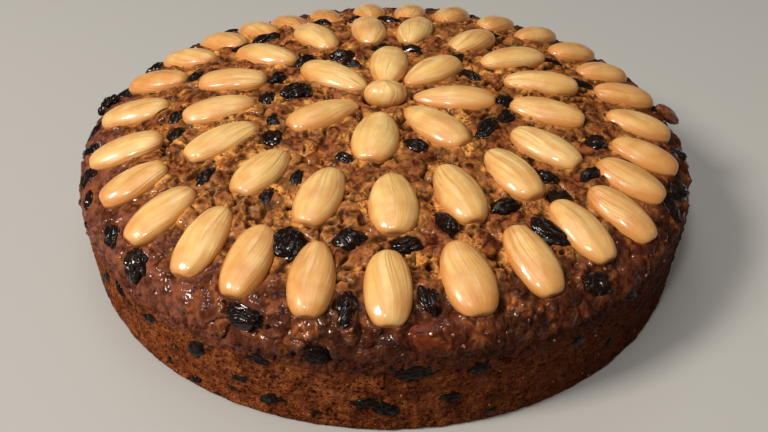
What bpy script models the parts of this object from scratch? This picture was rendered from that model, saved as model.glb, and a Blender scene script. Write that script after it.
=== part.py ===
"""Round fruit cake with rings of blanched almonds pressed into its domed top.

The uncut cake is one solid that stands on its flat underside, centred on the origin
with +Z up. Fifty-three almonds lie in three rings round an upright one, and five large
pieces of fruit stand proud of the crust. Each sits in its own pocket of the cake.
Run it with: blender --background --python part.py
"""

import math
import random

import bmesh
import bpy
from mathutils import Matrix, Vector

MM = 0.001

# Driving dimensions, in metres. Angles are in degrees, 0 along +X and -90 to the front.
CAKE_RADIUS = 0.0998  # widest, just under the shoulder
BASE_RADIUS = 0.0984  # at the underside
BASE_ROUNDING = 0.0015  # bottom edge
SHOULDER_HEIGHT = 0.0250  # top of the straight side
SHOULDER_INSET = 0.0078  # how far in the rounded shoulder meets the top
DOME_RADIUS = 0.1000  # where the top's curve would come down to EDGE_HEIGHT
EDGE_HEIGHT = 0.0331
DOME_ROUND = 0.0057  # rise of the dome with the square of the radius
DOME_FLAT = 0.0088  # rise with its fourth power, which keeps the middle flatter
SIDE_WAVE = 0.0004  # how far the side wanders in and out
TOP_WAVE = 0.0005  # how far the top wanders up and down

GAP = 0.0004  # clearance between a pressed-in piece and its pocket

ALMOND_WIDTH = 0.0131
ALMOND_THICKNESS = 0.0084
ALMOND_LIFT = 0.0000  # its middle above the crust
ALMOND_TAPER = 0.08  # how much slimmer the inner half is than the outer half
ROUND_END = 0.32  # how much fuller than an ellipse the two ends are
POINTED_END = 0.24
ALMOND_UNEVENNESS = 0.02  # share by which sizes differ
ALMOND_TURN = 1.0  # how far an almond may lie off its ring's direction, in degrees
CENTRE_LENGTH = 0.0230  # the almond that stands upright in the middle
CENTRE_WIDTH = 0.0140
CENTRE_THICKNESS = 0.0100
CENTRE_PROUD = 0.0066  # how far its round end stands out of the crust

PEEL_CURL = 0.0014  # how far the tip of the peel turns up
PEEL_TAPER = 0.55  # how much narrower that tip is than the middle
RAISIN_DENT = 0.16  # depth of a raisin's dents, as a share of its radius

CAKE_SEGMENTS = 44
SHOULDER_STEPS = 4
DOME_STEPS = 4
ALMOND_SEGMENTS = 8
ALMOND_STATIONS = 6
FRUIT_SUBDIVISIONS = 2
SEED = 4711

CRUST_COLOUR = (0.170, 0.055, 0.018)
ALMOND_COLOUR = (0.700, 0.400, 0.160)
RAISIN_COLOUR = (0.018, 0.010, 0.009)
PEEL_COLOUR = (0.180, 0.045, 0.020)


class Lay:
    """How one almond differs from the rest of its ring.

    It lies further out, further along anticlockwise and higher by so many millimetres, is
    turned by so many degrees, and is longer and wider by these factors.
    """

    def __init__(self, out=0.0, along=0.0, up=0.0, turn=0.0, length=1.0, width=1.0):
        self.out = out
        self.along = along
        self.up = up
        self.turn = turn
        self.length = length
        self.width = width


class Ring:
    """A ring of almonds, spaced as a hand lays them.

    drift holds (waves round the cake, size, peak) in degrees, which move the almonds
    along the ring. lean is how far those at the two sides turn to the front. uneven says
    how single almonds lie.
    """

    def __init__(self, name, count, radius, length, first, drift, lean, uneven):
        self.name = name
        self.count = count
        self.radius = radius
        self.length = length
        self.first = first
        self.drift = drift
        self.lean = lean
        self.uneven = uneven

    def angle(self, index):
        even = 360.0 * index / self.count
        moved = sum(
            size * math.cos(math.radians(waves * even - peak))
            for waves, size, peak in self.drift
        )
        along = self.uneven.get(index, Lay()).along * MM
        return self.first + even + moved + math.degrees(along / self.radius)

    def turn(self, index):
        leaning = -self.lean * math.cos(math.radians(self.angle(index)))
        return leaning + self.uneven.get(index, Lay()).turn


RINGS = (
    Ring(
        "almond_outer",
        count=29,
        radius=0.0830,
        length=0.0240,
        first=-91.2,
        drift=((1, 5.0, 67.0), (2, 1.2, -27.0), (3, 1.5, 145.0), (4, 0.8, 107.0)),
        lean=1.0,
        uneven={
            0: Lay(out=1.0, along=0.6),
            1: Lay(along=0.9, width=1.07),
            2: Lay(turn=-3.0),
            3: Lay(out=-1.3, along=1.0, turn=-6.0),
            4: Lay(out=2.2, along=-0.6, turn=-8.0, length=0.98),
            5: Lay(out=-0.8, along=-0.8, turn=-3.0, length=0.96),
            6: Lay(out=1.2, along=-1.0, turn=-2.0, length=0.94),
            7: Lay(out=0.3, turn=-5.0, length=0.92),
            8: Lay(out=0.3, along=0.8, up=0.5, length=0.95),
            9: Lay(out=1.0, length=0.88),
            10: Lay(out=1.0, along=-0.6, up=0.4, length=0.86),
            11: Lay(out=0.8, along=-0.7, up=0.4, length=0.92, width=0.95),
            12: Lay(out=0.6, along=-0.8, length=0.90),
            14: Lay(up=-0.6),
            15: Lay(up=-0.8),
            16: Lay(along=2.0, up=-1.6, width=0.94),
            17: Lay(out=0.6, along=1.8, up=-1.6),
            18: Lay(along=0.4, up=-1.2),
            19: Lay(up=-0.8),
            20: Lay(up=-0.4, length=0.96),
            22: Lay(along=0.8),
            23: Lay(out=0.6, along=2.4, turn=-3.0, length=1.04),
            24: Lay(out=1.0, along=1.4, length=0.94),
            25: Lay(out=0.3, along=2.0, turn=6.0, length=1.03),
            26: Lay(out=-0.6, along=2.8, turn=12.0, length=1.05),
            27: Lay(out=-0.6, along=1.0, turn=8.0, length=1.02),
            28: Lay(along=0.8, turn=8.0),
        },
    ),
    Ring(
        "almond_middle",
        count=17,
        radius=0.0546,
        length=0.0252,
        first=-91.0,
        drift=((1, 2.2, 11.0), (3, 0.8, 21.0), (4, 1.0, -43.0)),
        lean=11.0,
        uneven={
            0: Lay(width=1.10),
            1: Lay(out=-0.6, along=0.9, width=1.05),
            2: Lay(along=1.6, turn=-7.0, length=0.95),
            3: Lay(out=0.8, along=-0.5, length=0.97),
            4: Lay(out=-1.8, length=0.97),
            5: Lay(up=0.5),
            6: Lay(up=0.5),
            7: Lay(out=1.0, along=-0.4, length=0.92),
            8: Lay(out=1.0, along=1.6),
            11: Lay(up=-0.6),
            12: Lay(out=-0.7, length=0.93),
            13: Lay(out=-0.7, length=0.95),
            14: Lay(out=0.8),
            15: Lay(out=-0.8, along=0.8, turn=4.0, length=0.90),
        },
    ),
    Ring(
        "almond_inner",
        count=7,
        radius=0.0228,
        length=0.0268,
        first=-105.8,
        drift=((1, 10.9, 36.0), (2, 5.0, -65.0)),
        lean=4.0,
        uneven={
            0: Lay(along=-0.8, width=1.10),
            1: Lay(along=1.0, width=1.05),
            3: Lay(out=1.4, up=0.5, length=0.94),
            4: Lay(width=1.06),
            6: Lay(out=-0.6, along=0.6, length=0.93),
        },
    ),
)


class Fruit:
    """A large piece of fruit: where it sits, its size, how it is turned and raised."""

    def __init__(self, name, angle, radius, size, turn, lift):
        self.name = name
        self.angle = angle
        self.radius = radius
        self.size = size
        self.turn = turn
        self.lift = lift


RAISINS = (
    Fruit("raisin_rim_front", -111.8, 0.0964, (0.0132, 0.0070, 0.0058), 84.0, 0.0006),
    Fruit("raisin_rim_left", -135.0, 0.0970, (0.0112, 0.0084, 0.0066), 60.0, 0.0002),
    Fruit("raisin_rim_back", 169.5, 0.0966, (0.0096, 0.0076, 0.0066), 20.0, 0.0014),
    Fruit("raisin_top_left", 171.5, 0.0292, (0.0116, 0.0098, 0.0074), 40.0, 0.0004),
)
PEEL = Fruit("peel_rim_right", 7.5, 0.0966, (0.0130, 0.0072, 0.0036), 10.0, 0.0022)


def clear_scene():
    for obj in list(bpy.data.objects):
        bpy.data.objects.remove(obj, do_unlink=True)


def make_material(name, colour, roughness):
    material = bpy.data.materials.new(name)
    material.use_nodes = True
    shader = material.node_tree.nodes["Principled BSDF"]
    shader.inputs["Base Color"].default_value = (*colour, 1.0)
    shader.inputs["Roughness"].default_value = roughness
    shader.inputs["Metallic"].default_value = 0.0
    return material


def add_object(name, bm, material=None):
    """A smooth object made from the bmesh, which is freed."""
    bmesh.ops.recalc_face_normals(bm, faces=bm.faces)
    mesh = bpy.data.meshes.new(name)
    bm.to_mesh(mesh)
    bm.free()
    if material:
        mesh.materials.append(material)
    mesh.shade_smooth()
    mesh.set_sharp_from_angle(angle=math.radians(40.0))
    obj = bpy.data.objects.new(name, mesh)
    bpy.context.scene.collection.objects.link(obj)
    return obj


def top_height(radius):
    """Height of the domed top at this distance from the axis."""
    part = radius / DOME_RADIUS
    return EDGE_HEIGHT + DOME_ROUND * (1.0 - part**2) + DOME_FLAT * (1.0 - part**4)


def top_fall(radius):
    """How steeply the top falls away outwards at this distance from the axis."""
    part = radius / DOME_RADIUS
    return (2.0 * DOME_ROUND * part + 4.0 * DOME_FLAT * part**3) / DOME_RADIUS


def shoulder_point(step):
    """A point (radius, height) of the shoulder, from the side at 0 to the top at 1."""
    inner = CAKE_RADIUS - SHOULDER_INSET
    start = Vector((CAKE_RADIUS, SHOULDER_HEIGHT))
    end = Vector((inner, top_height(inner)))
    corner = Vector((CAKE_RADIUS, end.y - top_fall(inner) * SHOULDER_INSET))
    return start.lerp(corner, step).lerp(corner.lerp(end, step), step)


def crust_at(radius):
    """(height, fall) of the crust at this radius, on the dome or on the shoulder."""
    inner = CAKE_RADIUS - SHOULDER_INSET
    if radius <= inner:
        return top_height(radius), top_fall(radius)
    share = (CAKE_RADIUS - radius) / SHOULDER_INSET
    step = math.sqrt(share)
    here = shoulder_point(step)
    outside = shoulder_point(step * 0.98)
    return here.y, (here.y - outside.y) / (outside.x - here.x)


def cake_profile():
    """Half outline (radius, height) of the cake, up its side and over its top."""
    points = [(0.0, 0.0), (BASE_RADIUS - BASE_ROUNDING, 0.0), (BASE_RADIUS, BASE_ROUNDING)]
    points += [shoulder_point(k / SHOULDER_STEPS) for k in range(SHOULDER_STEPS + 1)]
    for k in range(1, DOME_STEPS + 1):
        radius = (CAKE_RADIUS - SHOULDER_INSET) * (1.0 - k / DOME_STEPS)
        points.append((radius, top_height(radius)))
    return points


def wander(co):
    """The point moved a little, as a baked cake is never quite true."""
    radius = math.hypot(co.x, co.y)
    angle = math.atan2(co.y, co.x)
    inwards = SIDE_WAVE * (0.5 + 0.3 * math.sin(3.0 * angle + 0.7) + 0.2 * math.sin(7.0 * angle))
    factor = 1.0 - min(1.0, co.z / SHOULDER_HEIGHT) * inwards / CAKE_RADIUS
    rise = TOP_WAVE * math.sin(2.0 * angle + 0.4) * math.sin(math.pi * radius / CAKE_RADIUS)
    height = co.z + rise if co.z > SHOULDER_HEIGHT else co.z
    return Vector((co.x * factor, co.y * factor, height))


def build_cake(material):
    bm = bmesh.new()
    verts = [bm.verts.new((radius, 0.0, height)) for radius, height in cake_profile()]
    for first, second in zip(verts, verts[1:]):
        bm.edges.new((first, second))
    bmesh.ops.spin(
        bm,
        geom=bm.verts[:] + bm.edges[:],
        cent=(0.0, 0.0, 0.0),
        axis=(0.0, 0.0, 1.0),
        angle=math.tau,
        steps=CAKE_SEGMENTS,
        use_merge=True,
    )
    bmesh.ops.remove_doubles(bm, verts=bm.verts, dist=1e-6)
    for vert in bm.verts:
        vert.co = wander(vert.co)
    return add_object("cake", bm, material)


def almond_bmesh(length, width, thickness):
    """An almond along X, its pointed end at -X and its round end at +X."""
    bm = bmesh.new()
    bmesh.ops.create_uvsphere(
        bm, u_segments=ALMOND_SEGMENTS, v_segments=ALMOND_STATIONS, radius=1.0
    )
    onto_x = Matrix.Rotation(math.pi / 2.0, 3, "Y")
    bmesh.ops.rotate(bm, verts=bm.verts, cent=(0.0, 0.0, 0.0), matrix=onto_x)
    for vert in bm.verts:
        along, across, up = vert.co
        station = max(0.01, math.hypot(across, up))
        end = ROUND_END if along > 0.0 else POINTED_END
        fullness = (1.0 + ALMOND_TAPER * (along - along**2)) / station**end
        vert.co = (
            along * length / 2.0,
            across * fullness * width / 2.0,
            up * fullness * thickness / 2.0,
        )
    return bm


def raisin_bmesh(length, width, thickness, seed):
    """A dried fruit: a ball pressed out of round, with dents drawn from its own seed."""
    bm = bmesh.new()
    bmesh.ops.create_icosphere(bm, subdivisions=FRUIT_SUBDIVISIONS, radius=1.0)
    chance = random.Random(seed)
    dents = [
        Vector([chance.uniform(-1.0, 1.0) for _ in range(3)]).normalized() for _ in range(5)
    ]
    for vert in bm.verts:
        depth = sum(max(0.0, vert.co.normalized().dot(dent)) ** 4 for dent in dents)
        ball = vert.co * (1.0 - RAISIN_DENT * min(1.0, depth))
        vert.co = (ball.x * length / 2.0, ball.y * width / 2.0, ball.z * thickness / 2.0)
    return bm


def peel_bmesh(length, width, thickness):
    """A flake of candied peel that narrows and curls up towards its outer tip."""
    bm = bmesh.new()
    bmesh.ops.create_icosphere(bm, subdivisions=FRUIT_SUBDIVISIONS, radius=1.0)
    for vert in bm.verts:
        along, across, up = vert.co
        outer = max(0.0, along)
        vert.co = (
            along * length / 2.0,
            across * (1.0 - PEEL_TAPER * outer) * width / 2.0,
            up * thickness / 2.0 + PEEL_CURL * outer**2,
        )
    return bm


def on_crust(angle, radius, turn, lift):
    """The place of a piece that lies on the crust, with its X axis outwards."""
    around = math.radians(angle)
    height, fall = crust_at(radius)
    place = Matrix.Translation((radius * math.cos(around), radius * math.sin(around), height))
    lying = Matrix.Rotation(around, 4, "Z") @ Matrix.Rotation(math.atan(fall), 4, "Y")
    turned = Matrix.Rotation(math.radians(turn), 4, "Z")
    return place @ lying @ turned @ Matrix.Translation((0.0, 0.0, lift))


def press_in(name, make, sizes, place, material):
    """The piece, and the hidden cutter of its pocket, which is wider by the gap."""
    piece = add_object(name, make(*sizes), material)
    piece.matrix_world = place
    wider = [size + 2.0 * GAP for size in sizes]
    pocket = make(*wider)
    bmesh.ops.transform(pocket, matrix=place, verts=pocket.verts)
    return pocket


def cut_pockets(cake, pockets):
    """Cuts all the pockets out of the cake at once, with one hidden cutter."""
    joined = bmesh.new()
    for pocket in pockets:
        mesh = bpy.data.meshes.new("pocket")
        bmesh.ops.recalc_face_normals(pocket, faces=pocket.faces)
        pocket.to_mesh(mesh)
        pocket.free()
        joined.from_mesh(mesh)
        bpy.data.meshes.remove(mesh)
    cutter = add_object("pockets", joined)
    cutter.hide_render = True
    cutter.display_type = "WIRE"
    boolean = cake.modifiers.new("pockets", "BOOLEAN")
    boolean.operation = "DIFFERENCE"
    boolean.solver = "EXACT"
    boolean.use_self = True
    boolean.object = cutter


def build_almonds(material):
    """The almonds of every ring and the upright one, and their pockets."""
    chance = random.Random(SEED)
    pockets = []
    for ring in RINGS:
        for index in range(ring.count):
            lay = ring.uneven.get(index, Lay())
            odd = [1.0 + chance.uniform(-1.0, 1.0) * ALMOND_UNEVENNESS for _ in range(2)]
            length = ring.length * lay.length * odd[0]
            width = ALMOND_WIDTH * lay.width * odd[1]
            turn = ring.turn(index) + chance.uniform(-1.0, 1.0) * ALMOND_TURN
            radius = ring.radius + lay.out * MM
            place = on_crust(ring.angle(index), radius, turn, ALMOND_LIFT + lay.up * MM)
            name = f"{ring.name}_{index + 1:02d}"
            sizes = (length, width, ALMOND_THICKNESS)
            pockets.append(press_in(name, almond_bmesh, sizes, place, material))
    height = top_height(0.0) + CENTRE_PROUD - CENTRE_LENGTH / 2.0
    broadside = Matrix.Rotation(-math.pi / 2.0, 4, "Z")
    upright = Matrix.Rotation(-math.pi / 2.0, 4, "Y")
    place = Matrix.Translation((0.0, 0.0, height)) @ broadside @ upright
    sizes = (CENTRE_LENGTH, CENTRE_WIDTH, CENTRE_THICKNESS)
    pockets.append(press_in("almond_centre", almond_bmesh, sizes, place, material))
    return pockets


def build_fruit(raisin_material, peel_material):
    """The five large pieces of fruit, and their pockets."""
    pockets = []
    for index, fruit in enumerate(RAISINS):
        place = on_crust(fruit.angle, fruit.radius, fruit.turn, fruit.lift)

        def make(length, width, thickness, seed=SEED + index):
            return raisin_bmesh(length, width, thickness, seed)

        pockets.append(press_in(fruit.name, make, fruit.size, place, raisin_material))
    place = on_crust(PEEL.angle, PEEL.radius, PEEL.turn, PEEL.lift)
    pockets.append(press_in(PEEL.name, peel_bmesh, PEEL.size, place, peel_material))
    return pockets


def main():
    clear_scene()
    crust = make_material("baked_crust", CRUST_COLOUR, 0.55)
    almond = make_material("blanched_almond", ALMOND_COLOUR, 0.30)
    raisin = make_material("dark_raisin", RAISIN_COLOUR, 0.30)
    peel = make_material("candied_peel", PEEL_COLOUR, 0.35)
    cake = build_cake(crust)
    pockets = build_almonds(almond) + build_fruit(raisin, peel)
    cut_pockets(cake, pockets)


main()
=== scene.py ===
"""Looks of a round fruit cake topped with rings of blanched almonds.

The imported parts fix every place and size. Each almond and each large piece of fruit is
modelled again on its own part, and the plain cake gives way to a baked crown over a
porous side. Smaller fruit, crumbs and beads of glaze lie between them.
"""

import logging
import math
from collections.abc import Callable, Iterable, Mapping, Sequence
from dataclasses import dataclass
from enum import Enum

import bmesh
import bpy
import numpy as np
from mathutils import Matrix, Vector
from mathutils.bvhtree import BVHTree


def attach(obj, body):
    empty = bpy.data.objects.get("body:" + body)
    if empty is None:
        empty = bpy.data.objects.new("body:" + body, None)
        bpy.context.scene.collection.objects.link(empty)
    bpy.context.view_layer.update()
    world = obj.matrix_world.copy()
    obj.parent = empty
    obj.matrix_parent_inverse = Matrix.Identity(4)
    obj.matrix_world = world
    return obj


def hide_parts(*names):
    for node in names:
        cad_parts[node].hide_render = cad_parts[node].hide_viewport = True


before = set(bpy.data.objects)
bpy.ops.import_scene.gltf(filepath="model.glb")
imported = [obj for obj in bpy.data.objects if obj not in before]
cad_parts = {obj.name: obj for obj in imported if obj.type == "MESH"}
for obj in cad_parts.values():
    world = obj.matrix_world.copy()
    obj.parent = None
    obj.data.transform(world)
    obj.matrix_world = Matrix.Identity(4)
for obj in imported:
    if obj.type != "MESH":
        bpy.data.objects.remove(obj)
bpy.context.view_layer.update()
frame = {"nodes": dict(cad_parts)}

LOG = logging.getLogger("fruit_cake")
MM = 0.001
BODY = "root"
MAP_NAME = "OFBake"

Array = np.ndarray
Mesh = bpy.types.Mesh
Material = bpy.types.Material
Node = bpy.types.Node
Socket = bpy.types.NodeSocket
Sockets = Mapping[str, Socket]
Colour = tuple[float, float, float]
Value = float | Sequence[float] | Socket


class Slot(Enum):
    """The material slots."""

    CRUST = "crust"
    ALMOND = "almond"
    RAISIN = "raisin"
    PEEL = "peel"


# ---------------------------------------------------------------- noise over points
#
# Points have three numbers each, and a size is in their unit. A seed chooses one of
# many patterns of a kind.


GRADIENTS = np.array(
    [(x, y, 0) for x in (-1, 1) for y in (-1, 1)]
    + [(x, 0, z) for x in (-1, 1) for z in (-1, 1)]
    + [(0, y, z) for y in (-1, 1) for z in (-1, 1)],
    float,
)
CELL_MARGIN = 0.1  # how far a scattered centre stays from its cell's walls
FURTHER_THAN_ANY = 9.0


def lattice(cell: Array, seed: int) -> Array:
    """A steady number for each whole-number point, mixed from its bits.

    Args:
        cell: Whole numbers, three to a point.
        seed: Chooses the pattern.

    Returns:
        One number from 0 to 1 for each point.
    """
    x, y, z = cell.astype(np.int64).astype(np.uint32).T
    mixed = x * np.uint32(0x9E3779B1) ^ y * np.uint32(0x85EBCA6B) ^ z * np.uint32(0xC2B2AE35)
    mixed = mixed ^ np.uint32((seed * 0x27D4EB2F + 0x165667B1) % 2**32)
    for shift, factor in ((15, 0x2C1B3C6D), (12, 0x297A2D39), (15, 0x846CA68B)):
        mixed = (mixed ^ mixed >> np.uint32(shift)) * np.uint32(factor)
    return (mixed ^ mixed >> np.uint32(16)) / 2.0**32


def ripple(points: Array, size: float, seed: int) -> Array:
    """Smooth noise with lumps of one size.

    Args:
        points: Where it is wanted.
        size: How wide a lump is.
        seed: Chooses the pattern.

    Returns:
        One number for each point, from about -1 to 1.
    """
    scaled = points / size
    base = np.floor(scaled)
    part = scaled - base
    fade = part**3 * (part * (part * 6.0 - 15.0) + 10.0)
    total = np.zeros(len(points))
    for corner in np.ndindex(2, 2, 2):
        offset = np.array(corner, float)
        pick = (lattice(base + offset, seed) * len(GRADIENTS)).astype(int)
        slope = np.einsum("ij,ij->i", GRADIENTS[pick], part - offset)
        total += slope * np.prod(np.where(offset > 0.5, fade, 1.0 - fade), axis=1)
    return total


def fractal(points: Array, size: float, octaves: int, seed: int) -> Array:
    """Noise from about -1 to 1 in octaves, each half as wide and half as strong."""
    return sum(ripple(points, size / 2**k, seed + k) / 2**k for k in range(octaves))


def warped(points: Array, size: float, amount: float, seed: int) -> Array:
    """The points moved about in swirls, so that a pattern loses its straight lines."""
    moves = np.stack([ripple(points, size, seed + k) for k in (0, 7, 13)], axis=1)
    return points + amount * moves


def cells(points: Array, size: float, seed: int) -> tuple[Array, Array, Array]:
    """Distances to scattered centres.

    Args:
        points: Where they are wanted.
        size: How far apart the centres are.
        seed: Chooses the pattern.

    Returns:
        The distance to the nearest centre as a share of size, how much further the next
        one is, and a steady number from 0 to 1 that belongs to the nearest.
    """
    scaled = points / size
    base = np.floor(scaled - 0.5)
    nearest = np.full(len(points), FURTHER_THAN_ANY)
    second = nearest.copy()
    owner = np.zeros(len(points))
    for corner in np.ndindex(2, 2, 2):
        cell = base + np.array(corner, float)
        jitter = np.stack([lattice(cell, seed + k) for k in (1, 2, 3)], axis=1)
        centre = CELL_MARGIN + (1.0 - 2.0 * CELL_MARGIN) * jitter
        distance = np.linalg.norm(scaled - cell - centre, axis=1)
        closer = distance < nearest
        second = np.where(closer, nearest, np.minimum(second, distance))
        nearest = np.where(closer, distance, nearest)
        owner = np.where(closer, lattice(cell, seed + 4), owner)
    return nearest, second - nearest, owner


def step(value: Array, low: Array | float, high: Array | float) -> Array:
    """A smooth step of value from 0 at low to 1 at high; low may be the larger one."""
    share = np.clip((value - low) / (high - low), 0.0, 1.0)
    return share * share * (3.0 - 2.0 * share)


def lines(pattern: Array, width: float) -> Array:
    """1 along the lines where a pattern crosses 0, and 0 where it is width from it."""
    return 1.0 - step(np.abs(pattern), 0.0, width)


def near(distance: Array, reach: float) -> Array:
    """1 against a piece, falling off over this reach."""
    return np.exp(-((np.maximum(distance, 0.0) / reach) ** 2))


@dataclass(frozen=True)
class Mounds:
    """Rounded mounds on scattered centres, with dips between them."""

    spread: float  # radius of a mound, as a share of the centres' spacing
    dip: float  # how low the dips are, where a mound's own height is 1
    least: float  # height of the lowest mound
    extra: float  # how much higher the highest one is

    def height(self, distance: Array, owner: Array) -> Array:
        """The height at these distances from centres with these numbers."""
        dome = np.clip(1.0 - (distance / self.spread) ** 2, -self.dip, 1.0)
        return dome * (self.least + self.extra * owner)


# ---------------------------------------------------------------- meshes and pieces


def gathered(
    items: bpy.types.bpy_prop_collection, key: str, width: int = 1, kind: type = np.float32
) -> Array:
    """Reads a property of every item in a collection.

    Args:
        items: A mesh's vertices, faces or the like.
        key: The property.
        width: How many numbers it has.
        kind: Their type.

    Returns:
        The numbers, in rows where there is more than one to an item.
    """
    flat = np.empty(len(items) * width, kind)
    items.foreach_get(key, flat)
    return flat if width == 1 else flat.reshape(-1, width)


def coordinates(mesh: Mesh) -> Array:
    """The mesh's vertices, one row each."""
    return gathered(mesh.vertices, "co", 3).astype(float)


def vectors(mesh: Mesh) -> Array:
    """The mesh's vertex normals, one row each."""
    return gathered(mesh.vertex_normals, "vector", 3).astype(float)


def noted(mesh: Mesh, name: str) -> Array:
    """One attribute of the mesh's vertices."""
    return gathered(mesh.attributes[name].data, "value").astype(float)


def note(mesh: Mesh, values: Mapping[str, Array]) -> None:
    """Writes one attribute of the vertices for each entry.

    Args:
        mesh: The mesh that carries them.
        values: Name of each attribute, with a number or three for each vertex.
    """
    for name, numbers in values.items():
        kind, key = ("FLOAT", "value") if numbers.ndim == 1 else ("FLOAT_VECTOR", "vector")
        attribute = mesh.attributes.new(name, kind, "POINT")
        attribute.data.foreach_set(key, numbers.astype(np.float32).ravel())


def move_to(mesh: Mesh, points: Array) -> None:
    """Puts the mesh's vertices at these points."""
    mesh.vertices.foreach_set("co", points.astype(np.float32).ravel())
    mesh.update()


def shaped(bm: bmesh.types.BMesh, name: str) -> Mesh:
    """Makes a new mesh from a bmesh, and frees the bmesh.

    Args:
        bm: The shape.
        name: The mesh's name.

    Returns:
        The mesh.
    """
    mesh = bpy.data.meshes.new(name)
    bm.to_mesh(mesh)
    bm.free()
    return mesh


def turn_outwards(mesh: Mesh) -> None:
    """Makes every face of a closed mesh point outwards.

    Args:
        mesh: The mesh, which may hold several closed shapes.
    """
    bm = bmesh.new()
    bm.from_mesh(mesh)
    bmesh.ops.recalc_face_normals(bm, faces=bm.faces)
    bm.to_mesh(mesh)
    bm.free()
    mesh.update()


def plain_ball(fineness: int) -> Mesh:
    """A ball of radius 1, made once for each fineness and then copied.

    Args:
        fineness: How often its 20 faces have been divided, counting from 1.

    Returns:
        The mesh that is kept for copying.
    """
    name = f"ball_{fineness}"
    if name not in bpy.data.meshes:
        bm = bmesh.new()
        bmesh.ops.create_icosphere(bm, subdivisions=fineness, radius=1.0)
        shaped(bm, name)
    return bpy.data.meshes[name]


def unfolded(mesh: Mesh, u: Array, v: Array) -> Array:
    """Spreads numbers of the vertices over the faces' corners, as a map needs them.

    Args:
        mesh: The mesh.
        u: From 0 to 1 for each vertex. A face that crosses 1 stays whole.
        v: From 0 to 1 for each vertex.

    Returns:
        A row for each corner of each face.
    """
    corner = gathered(mesh.loops, "vertex_index", kind=np.int32)
    first = gathered(mesh.polygons, "loop_start", kind=np.int32)
    face = np.repeat(np.arange(len(first)), np.diff(np.append(first, len(corner))))
    across = u[corner]
    span = np.maximum.reduceat(across, first) - np.minimum.reduceat(across, first)
    across = np.where((span[face] > 0.6) & (across < 0.4), across + 1.0, across)
    return np.stack([across / max(1.0, across.max()), v[corner]], axis=1)


def lay_map(mesh: Mesh, corners: Array) -> None:
    """Gives the mesh the map that its colours are baked on, a row for each corner."""
    layer = mesh.uv_layers.new(name=MAP_NAME)
    layer.uv.foreach_set("vector", corners.astype(np.float32).ravel())


def add_piece(
    mesh: Mesh,
    material: Material,
    slot: Slot,
    replaces: Iterable[str] = (),
) -> None:
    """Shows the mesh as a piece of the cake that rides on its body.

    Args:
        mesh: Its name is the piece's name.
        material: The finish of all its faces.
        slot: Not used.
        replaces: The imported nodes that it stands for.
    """
    mesh.shade_smooth()
    mesh.materials.clear()
    mesh.materials.append(material)
    piece = bpy.data.objects.new(mesh.name, mesh)
    bpy.context.scene.collection.objects.link(piece)
    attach(piece, BODY)
    for node in replaces:
        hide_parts(node)
    LOG.info("%s: %d faces", piece.name, len(mesh.polygons))


def packed_nodes() -> Mapping[str, bpy.types.Object]:
    """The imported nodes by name."""
    return frame["nodes"]


class Neighbours:
    """How far any point is from a set of pieces."""

    REACH_MM = 12.0  # further than this, the distance doesn't matter

    def __init__(self, meshes: Iterable[Mesh]) -> None:
        """Gathers the pieces.

        Args:
            meshes: Their meshes, which hold their places in their vertices.
        """
        corners: list[Vector] = []
        faces: list[list[int]] = []
        for mesh in meshes:
            start = len(corners)
            corners += [v.co.copy() for v in mesh.vertices]
            faces += [[start + i for i in face.vertices] for face in mesh.polygons]
        self.tree = BVHTree.FromPolygons(corners, faces)

    def distance(self, points: Array) -> Array:
        """Measures how far points are from the nearest surface.

        Args:
            points: In metres, three numbers to a point.

        Returns:
            Millimetres for each point, negative inside a piece and at most REACH_MM.
        """
        found = np.full(len(points), self.REACH_MM)
        for index, point in enumerate(points):
            place, normal, _, gap = self.tree.find_nearest(point, self.REACH_MM * MM)
            if place is not None:
                outside = (Vector(point) - place).dot(normal) >= 0.0
                found[index] = (gap if outside else -gap) / MM
        return found


@dataclass(frozen=True)
class Seat:
    """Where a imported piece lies: its middle, its own axes and its half sizes."""

    middle: Vector
    along: Vector
    across: Vector
    half: Vector

    @classmethod
    def of_node(cls, name: str, out: Vector | None = None) -> "Seat":
        """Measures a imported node.

        Args:
            name: The node.
            out: The way that its long axis should point; away from the cake's axis
                if it isn't given.

        Returns:
            The node's seat, with its long axis first and its flat side up.
        """
        points = coordinates(packed_nodes()[name].data)
        middle = points.mean(axis=0)
        _, axes = np.linalg.eigh(np.cov((points - middle).T))
        along, up = Vector(axes[:, 2]), Vector(axes[:, 0])
        away = out or Vector((middle[0], middle[1], 0.0))
        along = along if along.dot(away) > 0.0 else -along
        facing = up.z + 0.01 * up.y  # the small term settles it for an upright piece
        up = up if facing > 0.0 else -up
        across = up.cross(along)
        basis = np.array((along, across, up))
        own = (points - middle) @ basis.T
        low, high = own.min(axis=0), own.max(axis=0)
        centre = Vector(middle + (low + high) / 2.0 @ basis)
        return cls(centre, along, across, Vector((high - low) / 2.0))

    @property
    def up(self) -> Vector:
        """The way its flat side faces."""
        return self.along.cross(self.across)

    def placed(self, points: Array) -> Array:
        """Carries points from the origin to this seat, unscaled."""
        turn = np.array((self.along, self.across, self.up))
        return points @ turn + np.array(self.middle)


# ---------------------------------------------------------------- shader nodes


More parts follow.
